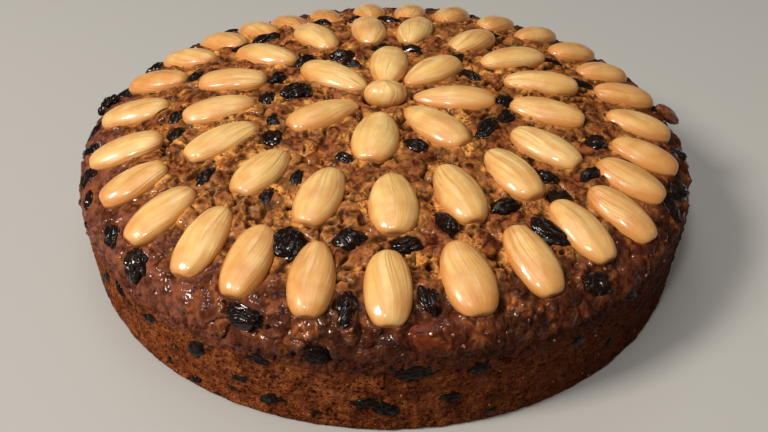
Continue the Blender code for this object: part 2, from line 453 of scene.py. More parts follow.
class Graph:
    """Adds nodes to one node tree and joins them."""

    def __init__(self, tree: bpy.types.NodeTree) -> None:
        """Starts on this tree."""
        self.tree = tree

    def node(self, kind: str, **settings: object) -> Node:
        """Adds a node.

        Args:
            kind: Its type.
            settings: Its properties.

        Returns:
            The node.
        """
        made = self.tree.nodes.new(kind)
        for name, value in settings.items():
            setattr(made, name, value)
        return made

    def feed(self, node: Node, values: Mapping[int | str, Value]) -> None:
        """Feeds inputs of a node, by number or by name.

        Args:
            node: The node.
            values: A socket to link, or a number or a colour to set, for each input.
        """
        for key, value in values.items():
            socket = node.inputs[key]
            if isinstance(value, Socket):
                self.tree.links.new(value, socket)
            elif isinstance(value, (int, float)):
                socket.default_value = value
            else:
                socket.default_value = (*value, 1.0)[: len(socket.default_value)]

    def result(self, node: Node, output: int | str, values: Mapping[int | str, Value]) -> Socket:
        """Feeds a node and gives one of its outputs."""
        self.feed(node, values)
        return node.outputs[output]

    def math(self, operation: str, *values: Value, clamp: bool = False) -> Socket:
        """The result of a sum on numbers, kept from 0 to 1 if it is clamped."""
        made = self.node("ShaderNodeMath", operation=operation, use_clamp=clamp)
        return self.result(made, 0, dict(enumerate(values)))

    def scaled(self, value: Value, by: float, plus: Value) -> Socket:
        """The value times one number, plus another."""
        return self.math("MULTIPLY_ADD", value, by, plus)

    def times(self, first: Value, second: Value) -> Socket:
        """One value times another."""
        return self.math("MULTIPLY", first, second)

    def along(self, vector: Value, direction: Sequence[float]) -> Socket:
        """How far a vector reaches in a direction."""
        made = self.node("ShaderNodeVectorMath", operation="DOT_PRODUCT")
        return self.result(made, "Value", {0: vector, 1: direction})

    def mix(self, share: Value, first: Value, second: Value, blend: str = "MIX") -> Socket:
        """A colour from the first, at a share of 0, to the second laid over it, at 1."""
        made = self.node("ShaderNodeMix", data_type="RGBA", blend_type=blend)
        return self.result(made, 2, {0: share, 6: first, 7: second})

    def ramp(self, value: Value, stops: Sequence[tuple[float, Colour]]) -> Socket:
        """Colours a value.

        Args:
            value: A number.
            stops: Places on the way from 0 to 1, each with its colour.

        Returns:
            The colour at the value.
        """
        made = self.node("ShaderNodeValToRGB")
        elements = made.color_ramp.elements
        while len(elements) < len(stops):
            elements.new(0.5)
        for element, (place, colour) in zip(elements, stops):
            element.position = place
            element.color = (*colour, 1.0)
        return self.result(made, 0, {0: value})

    def spread(self, value: Value, low: Value, high: Value) -> Socket:
        """A smooth step of the value from 0 at low to 1 at high."""
        made = self.node("ShaderNodeMapRange", interpolation_type="SMOOTHSTEP")
        return self.result(made, 0, {0: value, 1: low, 2: high})

    def noise(
        self, vector: Value, scale: Value, detail: float = 3.0, distortion: float = 0.0
    ) -> Socket:
        """Cloudy noise from 0 to 1."""
        fed = {"Vector": vector, "Scale": scale, "Detail": detail, "Distortion": distortion}
        return self.result(self.node("ShaderNodeTexNoise"), "Fac", fed)

    def cells(self, vector: Value, scale: Value) -> Socket:
        """The distance to the nearest of many scattered points."""
        made = self.node("ShaderNodeTexVoronoi", feature="F1")
        return self.result(made, "Distance", {"Vector": vector, "Scale": scale})

    def attribute(self, name: str, vector: bool = False) -> Socket:
        """A mesh attribute, as a number or a vector."""
        made = self.node("ShaderNodeAttribute", attribute_name=name)
        return made.outputs["Vector" if vector else "Fac"]

    def bump(self, height: Value, distance: float, strength: Value) -> Socket:
        """A normal that follows a height of 0 to 1 over this many metres, by a share."""
        fed = {"Distance": distance, "Strength": strength, "Height": height}
        return self.result(self.node("ShaderNodeBump"), "Normal", fed)

    def use(self, effect: "Effect", **values: Value) -> Socket:
        """Places a shared effect with its own values and gives its output."""
        made = self.node("ShaderNodeGroup", node_tree=effect.tree)
        return self.result(made, 0, values)


NUMBER, COLOUR, VECTOR = "NodeSocketFloat", "NodeSocketColor", "NodeSocketVector"


class Effect:
    """A shader node group with named inputs and one output, built once."""

    def __init__(
        self,
        name: str,
        inputs: Mapping[str, str],
        output: tuple[str, str],
        rule: Callable[[Graph, Sockets], Socket],
    ) -> None:
        """Builds the group.

        Args:
            name: The group's name.
            inputs: Name and kind of each input after Vector and Scale.
            output: Name and kind of the output.
            rule: Works out the output in the group's graph, from its inputs.
        """
        self.tree = bpy.data.node_groups.new(name, "ShaderNodeTree")
        for label, kind in {"Vector": VECTOR, "Scale": NUMBER, **inputs}.items():
            self.tree.interface.new_socket(label, in_out="INPUT", socket_type=kind)
        self.tree.interface.new_socket(output[0], in_out="OUTPUT", socket_type=output[1])
        graph = Graph(self.tree)
        made = rule(graph, graph.node("NodeGroupInput").outputs)
        graph.feed(graph.node("NodeGroupOutput"), {0: made})


def mottle(graph: Graph, given: Sockets) -> Socket:
    """Two colours in soft patches."""
    cloud = graph.noise(given["Vector"], given["Scale"], 4.0, 0.6)
    return graph.mix(graph.spread(cloud, 0.36, 0.64), given["Light"], given["Dark"])


def grain(graph: Graph, given: Sockets) -> Socket:
    """The height of fine crumb with pores.

    Args:
        graph: The group's graph.
        given: Its inputs.

    Returns:
        The height.
    """
    cloud = graph.noise(given["Vector"], given["Scale"], 5.0, 0.3)
    pore = graph.cells(given["Vector"], graph.times(given["Scale"], 1.3))
    deep = graph.times(graph.spread(pore, 0.42, 0.10), given["Pores"])
    return graph.math("SUBTRACT", cloud, deep)


def uneven_glaze(graph: Graph, given: Sockets) -> Socket:
    """How much glaze a spot has, in uneven patches.

    Args:
        graph: The group's graph.
        given: Its inputs.

    Returns:
        The amount.
    """
    cloud = graph.noise(given["Vector"], given["Scale"], 3.0, 1.0)
    share = graph.spread(cloud, 0.38, 0.60)
    span = graph.math("SUBTRACT", given["Most"], given["Least"])
    return graph.math("MULTIPLY_ADD", share, span, given["Least"])


class Effects:
    """The shared effects, made once."""

    def __init__(self) -> None:
        """Builds them."""
        colours = {"Light": COLOUR, "Dark": COLOUR}
        amounts = {"Least": NUMBER, "Most": NUMBER}
        self.mottle = Effect("mottle", colours, ("Color", COLOUR), mottle)
        self.grain = Effect("fine_grain", {"Pores": NUMBER}, ("Height", NUMBER), grain)
        self.glaze = Effect("uneven_glaze", amounts, ("Amount", NUMBER), uneven_glaze)


# ---------------------------------------------------------------- finishes


class Paint(Graph):
    """A new material's graph, with the shared effects at hand."""

    def __init__(self, name: str, effects: Effects, plain: Mapping[str, Value]) -> None:
        """Starts the material.

        Args:
            name: The material's name.
            effects: The shared effects.
            plain: The shader's inputs that are the same all over.
        """
        self.material = bpy.data.materials.new(name)
        self.material.use_nodes = True
        super().__init__(self.material.node_tree)
        self.shader = self.tree.nodes["Principled BSDF"]
        self.effects = effects
        self.place = self.node("ShaderNodeTexCoord").outputs["Object"]  # in metres
        self.feed(self.shader, plain)

    def mottled(self, scale: float, light: Colour, dark: Colour) -> Socket:
        """Light and dark in patches on the cake, smaller ones with a larger scale."""
        return self.use(self.effects.mottle, Vector=self.place, Scale=scale, Light=light, Dark=dark)

    def grained(self, scale: float, pores: float) -> Socket:
        """The height of fine crumb with more or fewer pores."""
        return self.use(self.effects.grain, Vector=self.place, Scale=scale, Pores=pores)

    def glazed(self, scale: float, least: float, most: float) -> Socket:
        """How much glaze a spot has, between two amounts."""
        return self.use(self.effects.glaze, Vector=self.place, Scale=scale, Least=least, Most=most)

    def layered(self, colour: Value, layers: Iterable[tuple[Value, Value]]) -> Value:
        """Lays colours over another one.

        Args:
            colour: The lowest one.
            layers: How much of each further one shows, and that colour.

        Returns:
            The colour of them all.
        """
        for share, tint in layers:
            colour = self.mix(share, colour, tint)
        return colour

    def done(self, painted: Mapping[str, Value]) -> Material:
        """Feeds what varies over the surface to the shader, and gives the material."""
        self.feed(self.shader, painted)
        return self.material


# pit carries painted shade: near-black laid into holes, pores, tears, creases, clefts, gaps and
# cracks
CRUST_MASKS = ("skin", "gold", "side", "band", "fruit", "pit", "glaze")


@dataclass(frozen=True)
class CrustFinish:
    """Baked crust: open golden crumb under stretched dark skin, sticky in places."""

    # crumb and side go from dark, over middle, to light
    crumb: tuple[Colour, ...] = (
        (0.105, 0.024, 0.006),
        (0.290, 0.082, 0.017),
        (0.640, 0.265, 0.076),
    )
    skin_dark: Colour = (0.055, 0.011, 0.004)
    skin_light: Colour = (0.310, 0.092, 0.028)
    specks: tuple[Colour, Colour] = ((0.30, 0.24, 0.20), (1.75, 1.75, 1.60))
    gold: Colour = (0.860, 0.390, 0.100)
    side: tuple[Colour, ...] = (
        (0.046, 0.010, 0.004),
        (0.190, 0.046, 0.014),
        (0.400, 0.125, 0.036),
    )
    band: Colour = (0.062, 0.013, 0.007)
    # painted shade: near-black patches on the rim away from the key light
    band_shade: Colour = (0.012, 0.004, 0.003)
    # painted light: a paler, pinkish rim towards the key light
    lit_band: Colour = (0.250, 0.078, 0.046)
    # painted shade: the colour laid into hollows
    hole: Colour = (0.028, 0.006, 0.001)
    fruit: Colour = (0.014, 0.010, 0.006)
    lit_side: tuple[float, float, float] = (-0.94, -0.34, 0.0)  # the key light's side: colours are painted paler towards it and darker away from it

    def make(self, effects: Effects) -> Material:
        """Builds the material from the crust's attributes and fine noise.

        Args:
            effects: The shared effects.

        Returns:
            The material.
        """
        plain = {"Coat Roughness": 0.13, "Specular IOR Level": 0.02}
        paint = Paint("baked_crust", effects, plain)
        masks = {name: paint.attribute(name) for name in CRUST_MASKS}
        fine_grain, coarse_grain = (paint.grained(scale, 0.5) for scale in (1000.0, 420.0))
        # towards the key light: the rim is painted paler there, and the crust darker away from it
        sunward = paint.along(paint.place, self.lit_side)
        far = paint.spread(sunward, 0.09, -0.07)

        # painted light on the rim towards the key light, and painted shade in dark patches away
        # from it
        rim = paint.mix(
            paint.spread(sunward, 0.09, 0.04),
            paint.mottled(240.0, self.lit_band, self.band),
            paint.mottled(110.0, self.band, self.band_shade),
        )
        # painted shade: the crust turns darker away from the key light, most on the side
        browner = paint.times(far, paint.scaled(masks["side"], 0.78, 0.10))
        # painted shade in the low spots of the grain
        pores = paint.math(
            "MAXIMUM", paint.spread(fine_grain, 0.34, 0.06), paint.spread(coarse_grain, 0.30, 0.0)
        )
        layers = (
            (masks["band"], rim),
            (browner, self.side[0]),
            (paint.times(pores, paint.scaled(masks["side"], 0.50, 0.30)), self.hole),
            (masks["fruit"], self.fruit),
            (masks["pit"], self.hole),
        )
        colour = paint.layered(self.baked(paint, masks), layers)

        sticky = paint.times(paint.glazed(620.0, -0.25, 0.85), paint.scaled(far, -0.60, 1.0))
        sticky = paint.math("MAXIMUM", sticky, 0.0)
        wet = paint.math("MULTIPLY", masks["glaze"], sticky, clamp=True)
        rough = paint.scaled(wet, -0.22, paint.scaled(masks["skin"], -0.22, 0.74))
        height = paint.scaled(coarse_grain, 1.5, fine_grain)
        strength = paint.scaled(masks["side"], 0.30, paint.scaled(masks["skin"], -0.40, 0.72))
        normal = paint.bump(height, 0.00048, strength)
        return paint.done(
            {"Base Color": colour, "Coat Weight": wet, "Roughness": rough, "Normal": normal}
        )

    def baked(self, paint: Paint, masks: Sockets) -> Socket:
        """Colours the top and the side, under the rim, the painted shade and the fruit that are
        laid over it.

        Args:
            paint: The material's graph.
            masks: The crust's masks.

        Returns:
            The colour.
        """
        fine = paint.noise(paint.place, 1250.0, 3.0, 0.3)
        coarse = paint.noise(paint.place, 230.0, 4.0, 0.8)
        tone = paint.scaled(coarse, 0.60, paint.times(fine, 0.40))
        crumb = paint.ramp(tone, list(zip((0.34, 0.50, 0.66), self.crumb)))
        side = paint.ramp(tone, list(zip((0.34, 0.50, 0.68), self.side)))
        skin = paint.mottled(330.0, self.skin_light, self.skin_dark)
        colour = paint.mix(masks["skin"], crumb, skin)
        specks = paint.ramp(fine, list(zip((0.36, 0.64), self.specks)))
        colour = paint.mix(paint.scaled(masks["skin"], -0.16, 0.36), colour, specks, "MULTIPLY")
        gold = paint.times(masks["gold"], paint.spread(tone, 0.34, 0.58))
        return paint.layered(colour, ((gold, self.gold), (masks["side"], side)))


@dataclass(frozen=True)
class AlmondFinish:
    """Blanched almond: cream, browner where it baked harder, with painted shade low down and away
    from the key light, under a glaze.
    """

    cream: Colour = (0.860, 0.520, 0.170)
    pale: Colour = (0.900, 0.635, 0.255)
    toasted: Colour = (0.690, 0.292, 0.075)
    streak: Colour = (0.500, 0.180, 0.040)
    scar: Colour = (0.480, 0.200, 0.070)

    def make(self, effects: Effects) -> Material:
        """Builds the material from the almond's own attributes.

        Args:
            effects: The shared effects.

        Returns:
            The material.
        """
        plain = {
            "Roughness": 0.42,
            "Coat Roughness": 0.13,
            "Subsurface Weight": 0.12,
            "Subsurface Radius": (0.0014, 0.0007, 0.0003),
        }
        paint = Paint("blanched_almond", effects, plain)
        fibres = paint.attribute("grain", vector=True)
        groove = self.groove(paint, fibres)
        streaks = paint.spread(paint.noise(fibres, 2.6, 2.0), 0.50, 0.74)
        marks = paint.math("MULTIPLY", paint.scaled(streaks, 0.55, groove), 0.44, clamp=True)
        cream = paint.use(
            effects.mottle, Vector=fibres, Scale=0.9, Light=self.cream, Dark=self.pale
        )
        layers = (
            (self.toasting(paint), self.toasted),
            (marks, self.streak),
            (paint.attribute("scar"), self.scar),
        )
        height = paint.scaled(groove, -0.8, paint.noise(fibres, 5.0, 2.0))
        return paint.done(
            {
                "Base Color": paint.layered(cream, layers),
                "Coat Weight": paint.glazed(170.0, 0.30, 0.95),
                "Normal": paint.bump(height, 0.00014, 0.8),
            }
        )

    def toasting(self, paint: Paint) -> Socket:
        """How toasted a spot is: more at the outer end, low down and in patches; low down it is
        also painted shade where the almond meets the crust.

        Args:
            paint: The material's graph.

        Returns:
            From 0 to 1.
        """
        outer = paint.spread(paint.attribute("along"), 0.30, 1.05)
        patches = paint.math("SUBTRACT", paint.noise(paint.place, 150.0, 3.0), 0.5)
        # tone carries the painted shade of almonds away from the key light
        baked = paint.scaled(outer, 0.30, paint.times(paint.attribute("tone"), 0.75))
        # low: toasting, and painted shade where the almond meets the crust
        baked = paint.scaled(paint.attribute("low"), 0.75, baked)
        return paint.math("MAXIMUM", paint.scaled(patches, 1.7, baked), 0.0, clamp=True)

    def groove(self, paint: Paint, fibres: Value) -> Socket:
        """How deep a spot lies in a groove: a broken fan of them, and one round the edge.

        Args:
            paint: The material's graph.
            fibres: Coordinates that run along the almond.

        Returns:
            From 0 to 1.
        """
        away = paint.math("ABSOLUTE", paint.math("SUBTRACT", paint.noise(fibres, 1.1, 1.0), 0.5))
        fan = paint.spread(paint.attribute("along"), 0.88, 0.25)
        broken = paint.times(fan, paint.spread(paint.noise(fibres, 0.8), 0.34, 0.60))
        edge = paint.spread(paint.math("ABSOLUTE", paint.attribute("edge")), 0.09, 0.02)
        fine = paint.times(paint.spread(away, 0.085, 0.0), broken)
        return paint.math("MAXIMUM", fine, paint.times(edge, 0.7))


@dataclass(frozen=True)
class DriedFruitFinish:
    """Dried fruit: dark, wrinkled skin, sticky on its folds."""

    name: str
    dark: Colour
    light: Colour
    glow: Colour
    most_glaze: float = 1.0

    def make(self, effects: Effects) -> Material:
        """Builds the material from the fruit's own folds.

        Args:
            effects: The shared effects.

        Returns:
            The material.
        """
        plain = {"Roughness": 0.55, "Specular IOR Level": 0.03, "Coat Roughness": 0.08}
        paint = Paint(self.name, effects, plain)
        # painted light: the crests between the folds take the lighter glow colour
        ridge = paint.times(paint.spread(paint.attribute("fold"), 0.60, 0.05), 0.30)
        return paint.done(
            {
                "Base Color": paint.mix(
                    ridge, paint.mottled(420.0, self.light, self.dark), self.glow
                ),
                "Coat Weight": paint.glazed(420.0, 0.0, self.most_glaze),
                "Normal": paint.bump(paint.grained(480.0, 0.2), 0.00022, 0.7),
            }
        )


RAISIN_FINISH = DriedFruitFinish(
    "dark_raisin", (0.003, 0.001, 0.001), (0.012, 0.005, 0.003), (0.045, 0.015, 0.007)
)
BAKED_RAISIN_FINISH = DriedFruitFinish(
    "baked_in_raisin", (0.002, 0.001, 0.001), (0.008, 0.003, 0.002), (0.024, 0.008, 0.004), 0.35
)
PEEL_FINISH = DriedFruitFinish(
    "candied_peel", (0.110, 0.026, 0.012), (0.240, 0.070, 0.028), (0.330, 0.120, 0.050)
)
CHERRY_FINISH = DriedFruitFinish(
    "glazed_cherry", (0.085, 0.013, 0.005), (0.145, 0.028, 0.009), (0.200, 0.044, 0.013), 0.5
)


@dataclass(frozen=True)
class GlazeFinish:
    """Sticky amber syrup that baked out of the crust, dark brown where it is thick."""

    dark: Colour = (0.110, 0.026, 0.013)
    light: Colour = (0.300, 0.085, 0.030)

    def make(self, effects: Effects) -> Material:
        """Builds the material.

        Args:
            effects: The shared effects.

        Returns:
            The material.
        """
        plain = {"Roughness": 0.22, "Coat Weight": 1.0, "Coat Roughness": 0.06}
        paint = Paint("baked_syrup", effects, plain)
        colour = paint.mottled(300.0, self.light, self.dark)
        normal = paint.bump(paint.noise(paint.place, 900.0, 2.0), 0.0002, 0.5)
        return paint.done({"Base Color": colour, "Normal": normal})


@dataclass(frozen=True)
class CrumbFinish:
    """Loose crumbs and torn crumb edges, golden brown and dry."""

    dark: Colour = (0.230, 0.062, 0.014)
    light: Colour = (0.480, 0.175, 0.045)

    def make(self, effects: Effects) -> Material:
        """Builds the material.

        Args:
            effects: The shared effects.

        Returns:
            The material.
        """
        paint = Paint("golden_crumb", effects, {"Roughness": 0.7, "Coat Roughness": 0.2})
        return paint.done(
            {
                "Base Color": paint.mottled(340.0, self.light, self.dark),
                "Coat Weight": paint.glazed(260.0, 0.0, 0.5),
                "Normal": paint.bump(paint.grained(1100.0, 0.6), 0.0004, 0.9),
            }
        )


# ---------------------------------------------------------------- the cake's outline


@dataclass(frozen=True)
class CakeForm:
    """The cake's plain outline: domed top, rounded shoulder, nearly upright side."""

    radius: float = 0.0998
    base_radius: float = 0.0984
    base_rounding: float = 0.0015
    shoulder_height: float = 0.0250
    shoulder_inset: float = 0.0078
    dome_radius: float = 0.1000
    edge_height: float = 0.0331
    dome_round: float = 0.0057
    dome_flat: float = 0.0088
    side_wave: float = 0.0004
    top_wave: float = 0.0005
    dome_points: int = 160
    shoulder_points: int = 60
    side_points: int = 80

    def top_height(self, radius: Array | float) -> Array | float:
        """Finds how high the dome is.

        Args:
            radius: Distance from the axis.

        Returns:
            The height.
        """
        part = radius / self.dome_radius
        rise = self.dome_round * (1.0 - part**2) + self.dome_flat * (1.0 - part**4)
        return self.edge_height + rise

    def outline(self) -> Array:
        """Follows the outline. The shoulder is a curve that is drawn towards a corner.

        Returns:
            Points (radius, height) from the top's middle down to the base's edge.
        """
        inner = self.radius - self.shoulder_inset
        across = np.linspace(0.0, inner, self.dome_points)
        dome = np.stack([across, self.top_height(across)], axis=1)
        part = inner / self.dome_radius
        fall = 2.0 * self.dome_round * part + 4.0 * self.dome_flat * part**3
        corner_height = dome[-1, 1] - fall / self.dome_radius * self.shoulder_inset
        start = np.array((self.radius, self.shoulder_height))
        corner = np.array((self.radius, corner_height))
        share = np.linspace(1.0, 0.0, self.shoulder_points)[1:, None]
        first = start + (corner - start) * share
        second = corner + (dome[-1] - corner) * share
        shoulder = first + (second - first) * share
        down = np.linspace(0.0, 1.0, self.side_points)[1:, None]
        foot = np.array((self.base_radius, self.base_rounding))
        return np.concatenate([dome, shoulder, start + (foot - start) * down])

    def side_radius(self, height: float) -> float:
        """Finds how far the side is from the axis.

        Args:
            height: Up to where the shoulder starts to lean in.

        Returns:
            The distance.
        """
        points = self.outline()[::-1]
        beside = points[points[:, 0] > self.base_radius - MM]
        return float(np.interp(height, beside[:, 1], beside[:, 0]))

    def wander(self, points: Array) -> Array:
        """Moves points a little, as a baked cake is never quite true.

        Args:
            points: On the plain cake.

        Returns:
            The moved points.
        """
        x, y, z = points.T
        angle = np.arctan2(y, x)
        waves = 0.5 + 0.3 * np.sin(3.0 * angle + 0.7) + 0.2 * np.sin(7.0 * angle)
        inwards = self.side_wave * waves * np.minimum(1.0, z / self.shoulder_height)
        factor = 1.0 - inwards / self.radius
        out = np.hypot(x, y) / self.radius
        rise = self.top_wave * np.sin(2.0 * angle + 0.4) * np.sin(math.pi * out)
        lifted = z + np.where(z > self.shoulder_height, rise, 0.0)
        return np.stack([x * factor, y * factor, lifted], axis=1)


# ---------------------------------------------------------------- the crust's relief
#
# Points and lengths are in millimetres here. A pattern is asked for with its size and,
# last, its seed, and a feature's weight is a height in millimetres or a share.


@dataclass
class Relief:
    """How far a surface stands out, in millimetres, and its masks at each point."""

    height: Array
    masks: dict[str, Array]

    def mixed(self, other: "Relief", share: Array) -> "Relief":
        """This relief where share is 0 and the other one where it is 1."""
        masks = {n: self.masks[n] * (1.0 - share) + other.masks[n] * share for n in self.masks}
        return Relief(self.height * (1.0 - share) + other.height * share, masks)


class TopCrust:
    """The crust of the top: torn skin over open crumb, with mounds, creases and holes.

    Each feature is a number at each point, mostly from 0, where it is absent, to 1.
    """

    RIM = (80.0, 92.0)  # from the open top to the rim, out from the axis
    MIDDLE = (85.0, 15.0)  # from the rim in to the middle, which baked less
    CENTRE = (14.0, 8.0)  # in here the crust doesn't climb the upright almond
    CALM = (-0.3, 1.1)  # from a piece, where the crust is smooth, to the open crust
    SWELL = Mounds(spread=0.72, dip=0.8, least=0.30, extra=1.1)
    KNOBS = Mounds(spread=0.70, dip=0.8, least=0.35, extra=0.9)

    def __init__(self, points: Array, nut: Array, fruit: Array) -> None:
        """Works out the features that the others depend on.

        Args:
            points: On the plain top.
            nut: Distance to the nearest almond.
            fruit: Distance to the nearest piece of fruit.
        """
        self.points, self.nut = points, nut
        self.beside = np.minimum(nut, fruit)
        self.out = np.hypot(points[:, 0], points[:, 1])
        self.rim = step(self.out, *self.RIM)
        self.middle = step(self.out, *self.MIDDLE)
        self.bent = warped(points, 7.0, 1.8, 11)
        big, self.parting, big_owner = cells(warped(points, 5.0, 2.3, 23), 6.4, 29)
        mid, mid_edge, self.mid_owner = cells(warped(points, 3.4, 0.9, 19), 2.6, 31)
        self.bulge = self.SWELL.height(big, big_owner)
        self.knob = self.KNOBS.height(mid, self.mid_owner)
        patch = fractal(self.bent, 8.0, 2, 41) + 0.08 * (0.5 - mid) + 0.26 * self.bulge
        self.skin = step(patch + 0.20 + 0.40 * self.rim - 0.08 * self.middle, -0.10, 0.12)
        self.opened = 1.0 - self.skin
        self.web = 1.0 - step(mid_edge, 0.05, 0.45)
        self.sponge = self.opened * self.patches(9.0, 43, -0.16, 0.10) * (1.0 - self.rim)
        self.cup = (1.0 - self.web) * self.sponge * step(self.mid_owner, 0.30, 0.60)

    def patches(self, size: float, seed: int, low: float, high: float) -> Array:
        """Soft patches in which a feature shows."""
        return step(fractal(self.points, size, 2, seed), low, high)

    def relief(self) -> Relief:
        """Puts the features together.

        Returns:
            The height and the masks.
        """
        holes, tears = self.holes(), self.tears()
        crease, lip = self.creases()
        small, _, _ = cells(warped(self.points, 2.6, 0.7, 17), 1.2, 37)
        calm = step(self.beside, *self.CALM)
        climb = self.climb()
        rough = (
            1.25 * self.bulge
            - 0.95 * crease
            + (0.06 + 0.18 * self.opened + 0.50 * self.rim) * self.knob
            + 0.25 * self.skin
            + (0.04 + 0.26 * self.opened + 0.20 * self.rim) * (0.5 - small)
            - 0.65 * self.cup
            - 1.3 * holes
            - 0.5 * tears * (0.3 + 0.7 * self.opened)
        )
        sag = self.bulge + 0.3 * fractal(self.points, 3.0, 2, 63)
        cleft = step(sag, 0.0, -0.55) * (1.0 - self.rim)
        gap = step(self.beside, 1.0, 0.0) * step(climb, 0.35, -0.05)
        cling = near(self.beside, 1.2)
        height = 0.45 * fractal(self.points, 16.0, 2, 21) - 0.30 + rough * calm + cling * climb
        height -= 0.5 * cleft * calm
        height -= 0.5 * gap
        # painted shade in holes, cups, tears, gaps, clefts and creases
        dark = holes + 0.6 * self.cup + 0.5 * tears + 0.9 * gap + 0.5 * cleft + 0.85 * crease
        return Relief(height, self.masks(np.clip(dark, 0.0, 1.0), lip))

    def holes(self) -> Array:
        """Round holes of several sizes in the open crumb.

        Returns:
            From 0 to 1 at each point.
        """
        dimple, _, owner = cells(warped(self.points, 4.0, 1.2, 47), 3.6, 49)
        size = 0.10 + 0.28 * owner
        return step(dimple, size, size * 0.5) * step(self.opened, 0.1, 0.7)

    def tears(self) -> Array:
        """Thin, long tears in the skin."""
        shown = step(ripple(self.points, 12.0, 59), -0.1, 0.25)
        return lines(fractal(self.bent, 7.5, 2, 53), 0.06) * shown

    def creases(self) -> tuple[Array, Array]:
        """Creases between the mounds.

        Returns:
            The creases, and the lips beside them.
        """
        ragged = self.parting + 0.20 * fractal(self.points, 2.2, 2, 56)
        torn = self.patches(8.0, 57, -0.12, 0.22) * (1.0 - 0.6 * self.rim)
        crease = (1.0 - step(ragged, 0.0, 0.22)) * torn
        return crease, step(ragged, 0.50, 0.24) * torn * (1.0 - crease)

    def climb(self) -> Array:
        """How far the crust climbs a piece that it meets; below 0 it leaves a gap."""
        climb = 0.40 + 0.90 * ripple(self.points, 5.4, 61) + 0.20 * step(self.nut, 1.5, 3.0)
        return climb - step(self.out, *self.CENTRE)

    def masks(self, dark: Array, lip: Array) -> dict[str, Array]:
        """Works out where each colour and the glaze lie.

        Args:
            dark: How deep a point lies in a hole, a tear or a crease; it is painted in as shade.
            lip: The raised edge of a crease.

        Returns:
            The masks by name.
        """
        near_nut = near(self.nut, 2.0)
        ridge = self.web * self.sponge * step(self.mid_owner, 0.15, 0.4)
        sticky = near_nut * step(fractal(self.points, 6.0, 3, 67), -0.30, 0.25)
        golden = fractal(self.points, 8.0, 2, 71) - 0.22 * self.bulge + 0.34 * self.middle
        crumb = step(golden, 0.10, 0.50) * (0.25 + 0.75 * self.opened)
        # gold is golden crumb and syrup colour; on the lips and web ridges it is partly painted
        # highlight on raised edges
        gold = np.maximum.reduce([sticky, crumb, 0.55 * ridge, 0.35 * lip])
        glaze = 0.20 + 0.58 * self.skin + 0.4 * near_nut + 0.45 * self.rim
        none = np.zeros(len(self.points))
        return {
            "skin": self.skin,
            "gold": gold * (1.0 - 0.92 * self.rim),
            "side": none,
            "band": 0.80 * self.rim * step(fractal(self.bent, 6.0, 2, 73), -0.6, 0.1),
            "fruit": none,
            "pit": dark,
            "glaze": np.clip(glaze, 0.0, 1.0) * (1.0 - 0.8 * dark),
        }


class SideCrust:
    """The crust of the side: fine crumb with pits, cracks and fruit that shows."""

    BAND = (20.5, 27.0)  # the height over which the side turns into the browner rim
    FOOT = (3.0, 0.3)  # the height below which it is browner again
    BLEBS = Mounds(spread=0.7, dip=0.6, least=0.3, extra=0.9)

    def __init__(self, points: Array) -> None:
        """Works out the warps.

        Args:
            points: On the plain side.
        """
        self.points = points
        self.bent = warped(points, 6.0, 1.6, 111)

    def relief(self) -> Relief:
        """Puts the features together.

        Returns:
            The height and the masks.
        """
        points, pits, holes, fruit = self.points, self.pits(), self.holes(), self.fruit()
        cracks = lines(fractal(self.bent, 9.0, 3, 141), 0.045)
        cracks = cracks * step(ripple(points, 13.0, 143), -0.05, 0.25)
        wrinkle = np.abs(fractal(points, 2.0, 2, 157))
        band = step(points[:, 2] + 2.8 * fractal(points, 9.0, 3, 163), *self.BAND)
        knob, _, knob_owner = cells(warped(points, 3.0, 0.8, 165), 2.3, 167)
        height = (
            0.34 * fractal(self.bent, 9.0, 2, 121)
            + 0.34 * fractal(points, 2.6, 2, 123)
            - 0.65 * pits
            - 1.1 * holes
            - 0.60 * cracks
            + fruit * (0.15 - 0.9 * wrinkle)
            - 0.16 * step(fractal(points, 1.5, 2, 159), 0.0, 0.5)
            + 0.75 * band * self.BLEBS.height(knob, knob_owner)
        )
        # painted shade in pits, holes and cracks
        deep = np.clip(pits * 0.8 + holes + cracks * 0.75, 0.0, 1.0)
        foot = step(points[:, 2], *self.FOOT)
        masks = {
            "skin": 0.5 * band,
            "gold": np.zeros(len(points)),
            "side": np.ones(len(points)),
            "band": np.clip(0.85 * band + 0.3 * foot, 0.0, 1.0),
            "fruit": fruit * 0.9,
            "pit": deep * (1.0 - fruit),
            "glaze": np.clip(0.02 + 0.32 * band + 0.1 * fruit, 0.0, 1.0) * (1.0 - deep),
        }
        return Relief(height, masks)

    def pits(self) -> Array:
        """Small round pits of several sizes, which crowd together.

        Returns:
            From 0 to 1 at each point.
        """
        pit, _, owner = cells(warped(self.points, 2.5, 0.7, 117), 2.0, 131)
        size = 0.06 + 0.34 * owner**2
        crowd = step(fractal(self.points, 13.0, 2, 133), -0.40, 0.25)
        return step(pit, size, size * 0.5) * (0.35 + 0.65 * crowd)

    def holes(self) -> Array:
        """A few large, ragged holes, wider than they are high.

        Returns:
            From 0 to 1 at each point.
        """
        hole, _, owner = cells(self.bent * (1.0, 1.0, 1.25), 5.6, 137)
        size = np.where(owner > 0.55, 0.09 + 0.32 * (owner - 0.55), 0.0)
        return step(hole + 0.10 * fractal(self.points, 1.6, 2, 139), size + 0.02, size * 0.5)

    def fruit(self) -> Array:
        """Flat patches of dark fruit, wider than they are high.

        Returns:
            From 0 to 1 at each point.
        """
        patch, _, owner = cells(self.bent * (1.0, 1.0, 1.6), 7.6, 151)
        size = np.where(owner > 0.35, 0.12 + 0.24 * (owner - 0.35), 0.0)
        return step(patch + 0.16 * fractal(self.points, 2.4, 3, 153), size + 0.02, size - 0.03)


# ---------------------------------------------------------------- the crust's meshes


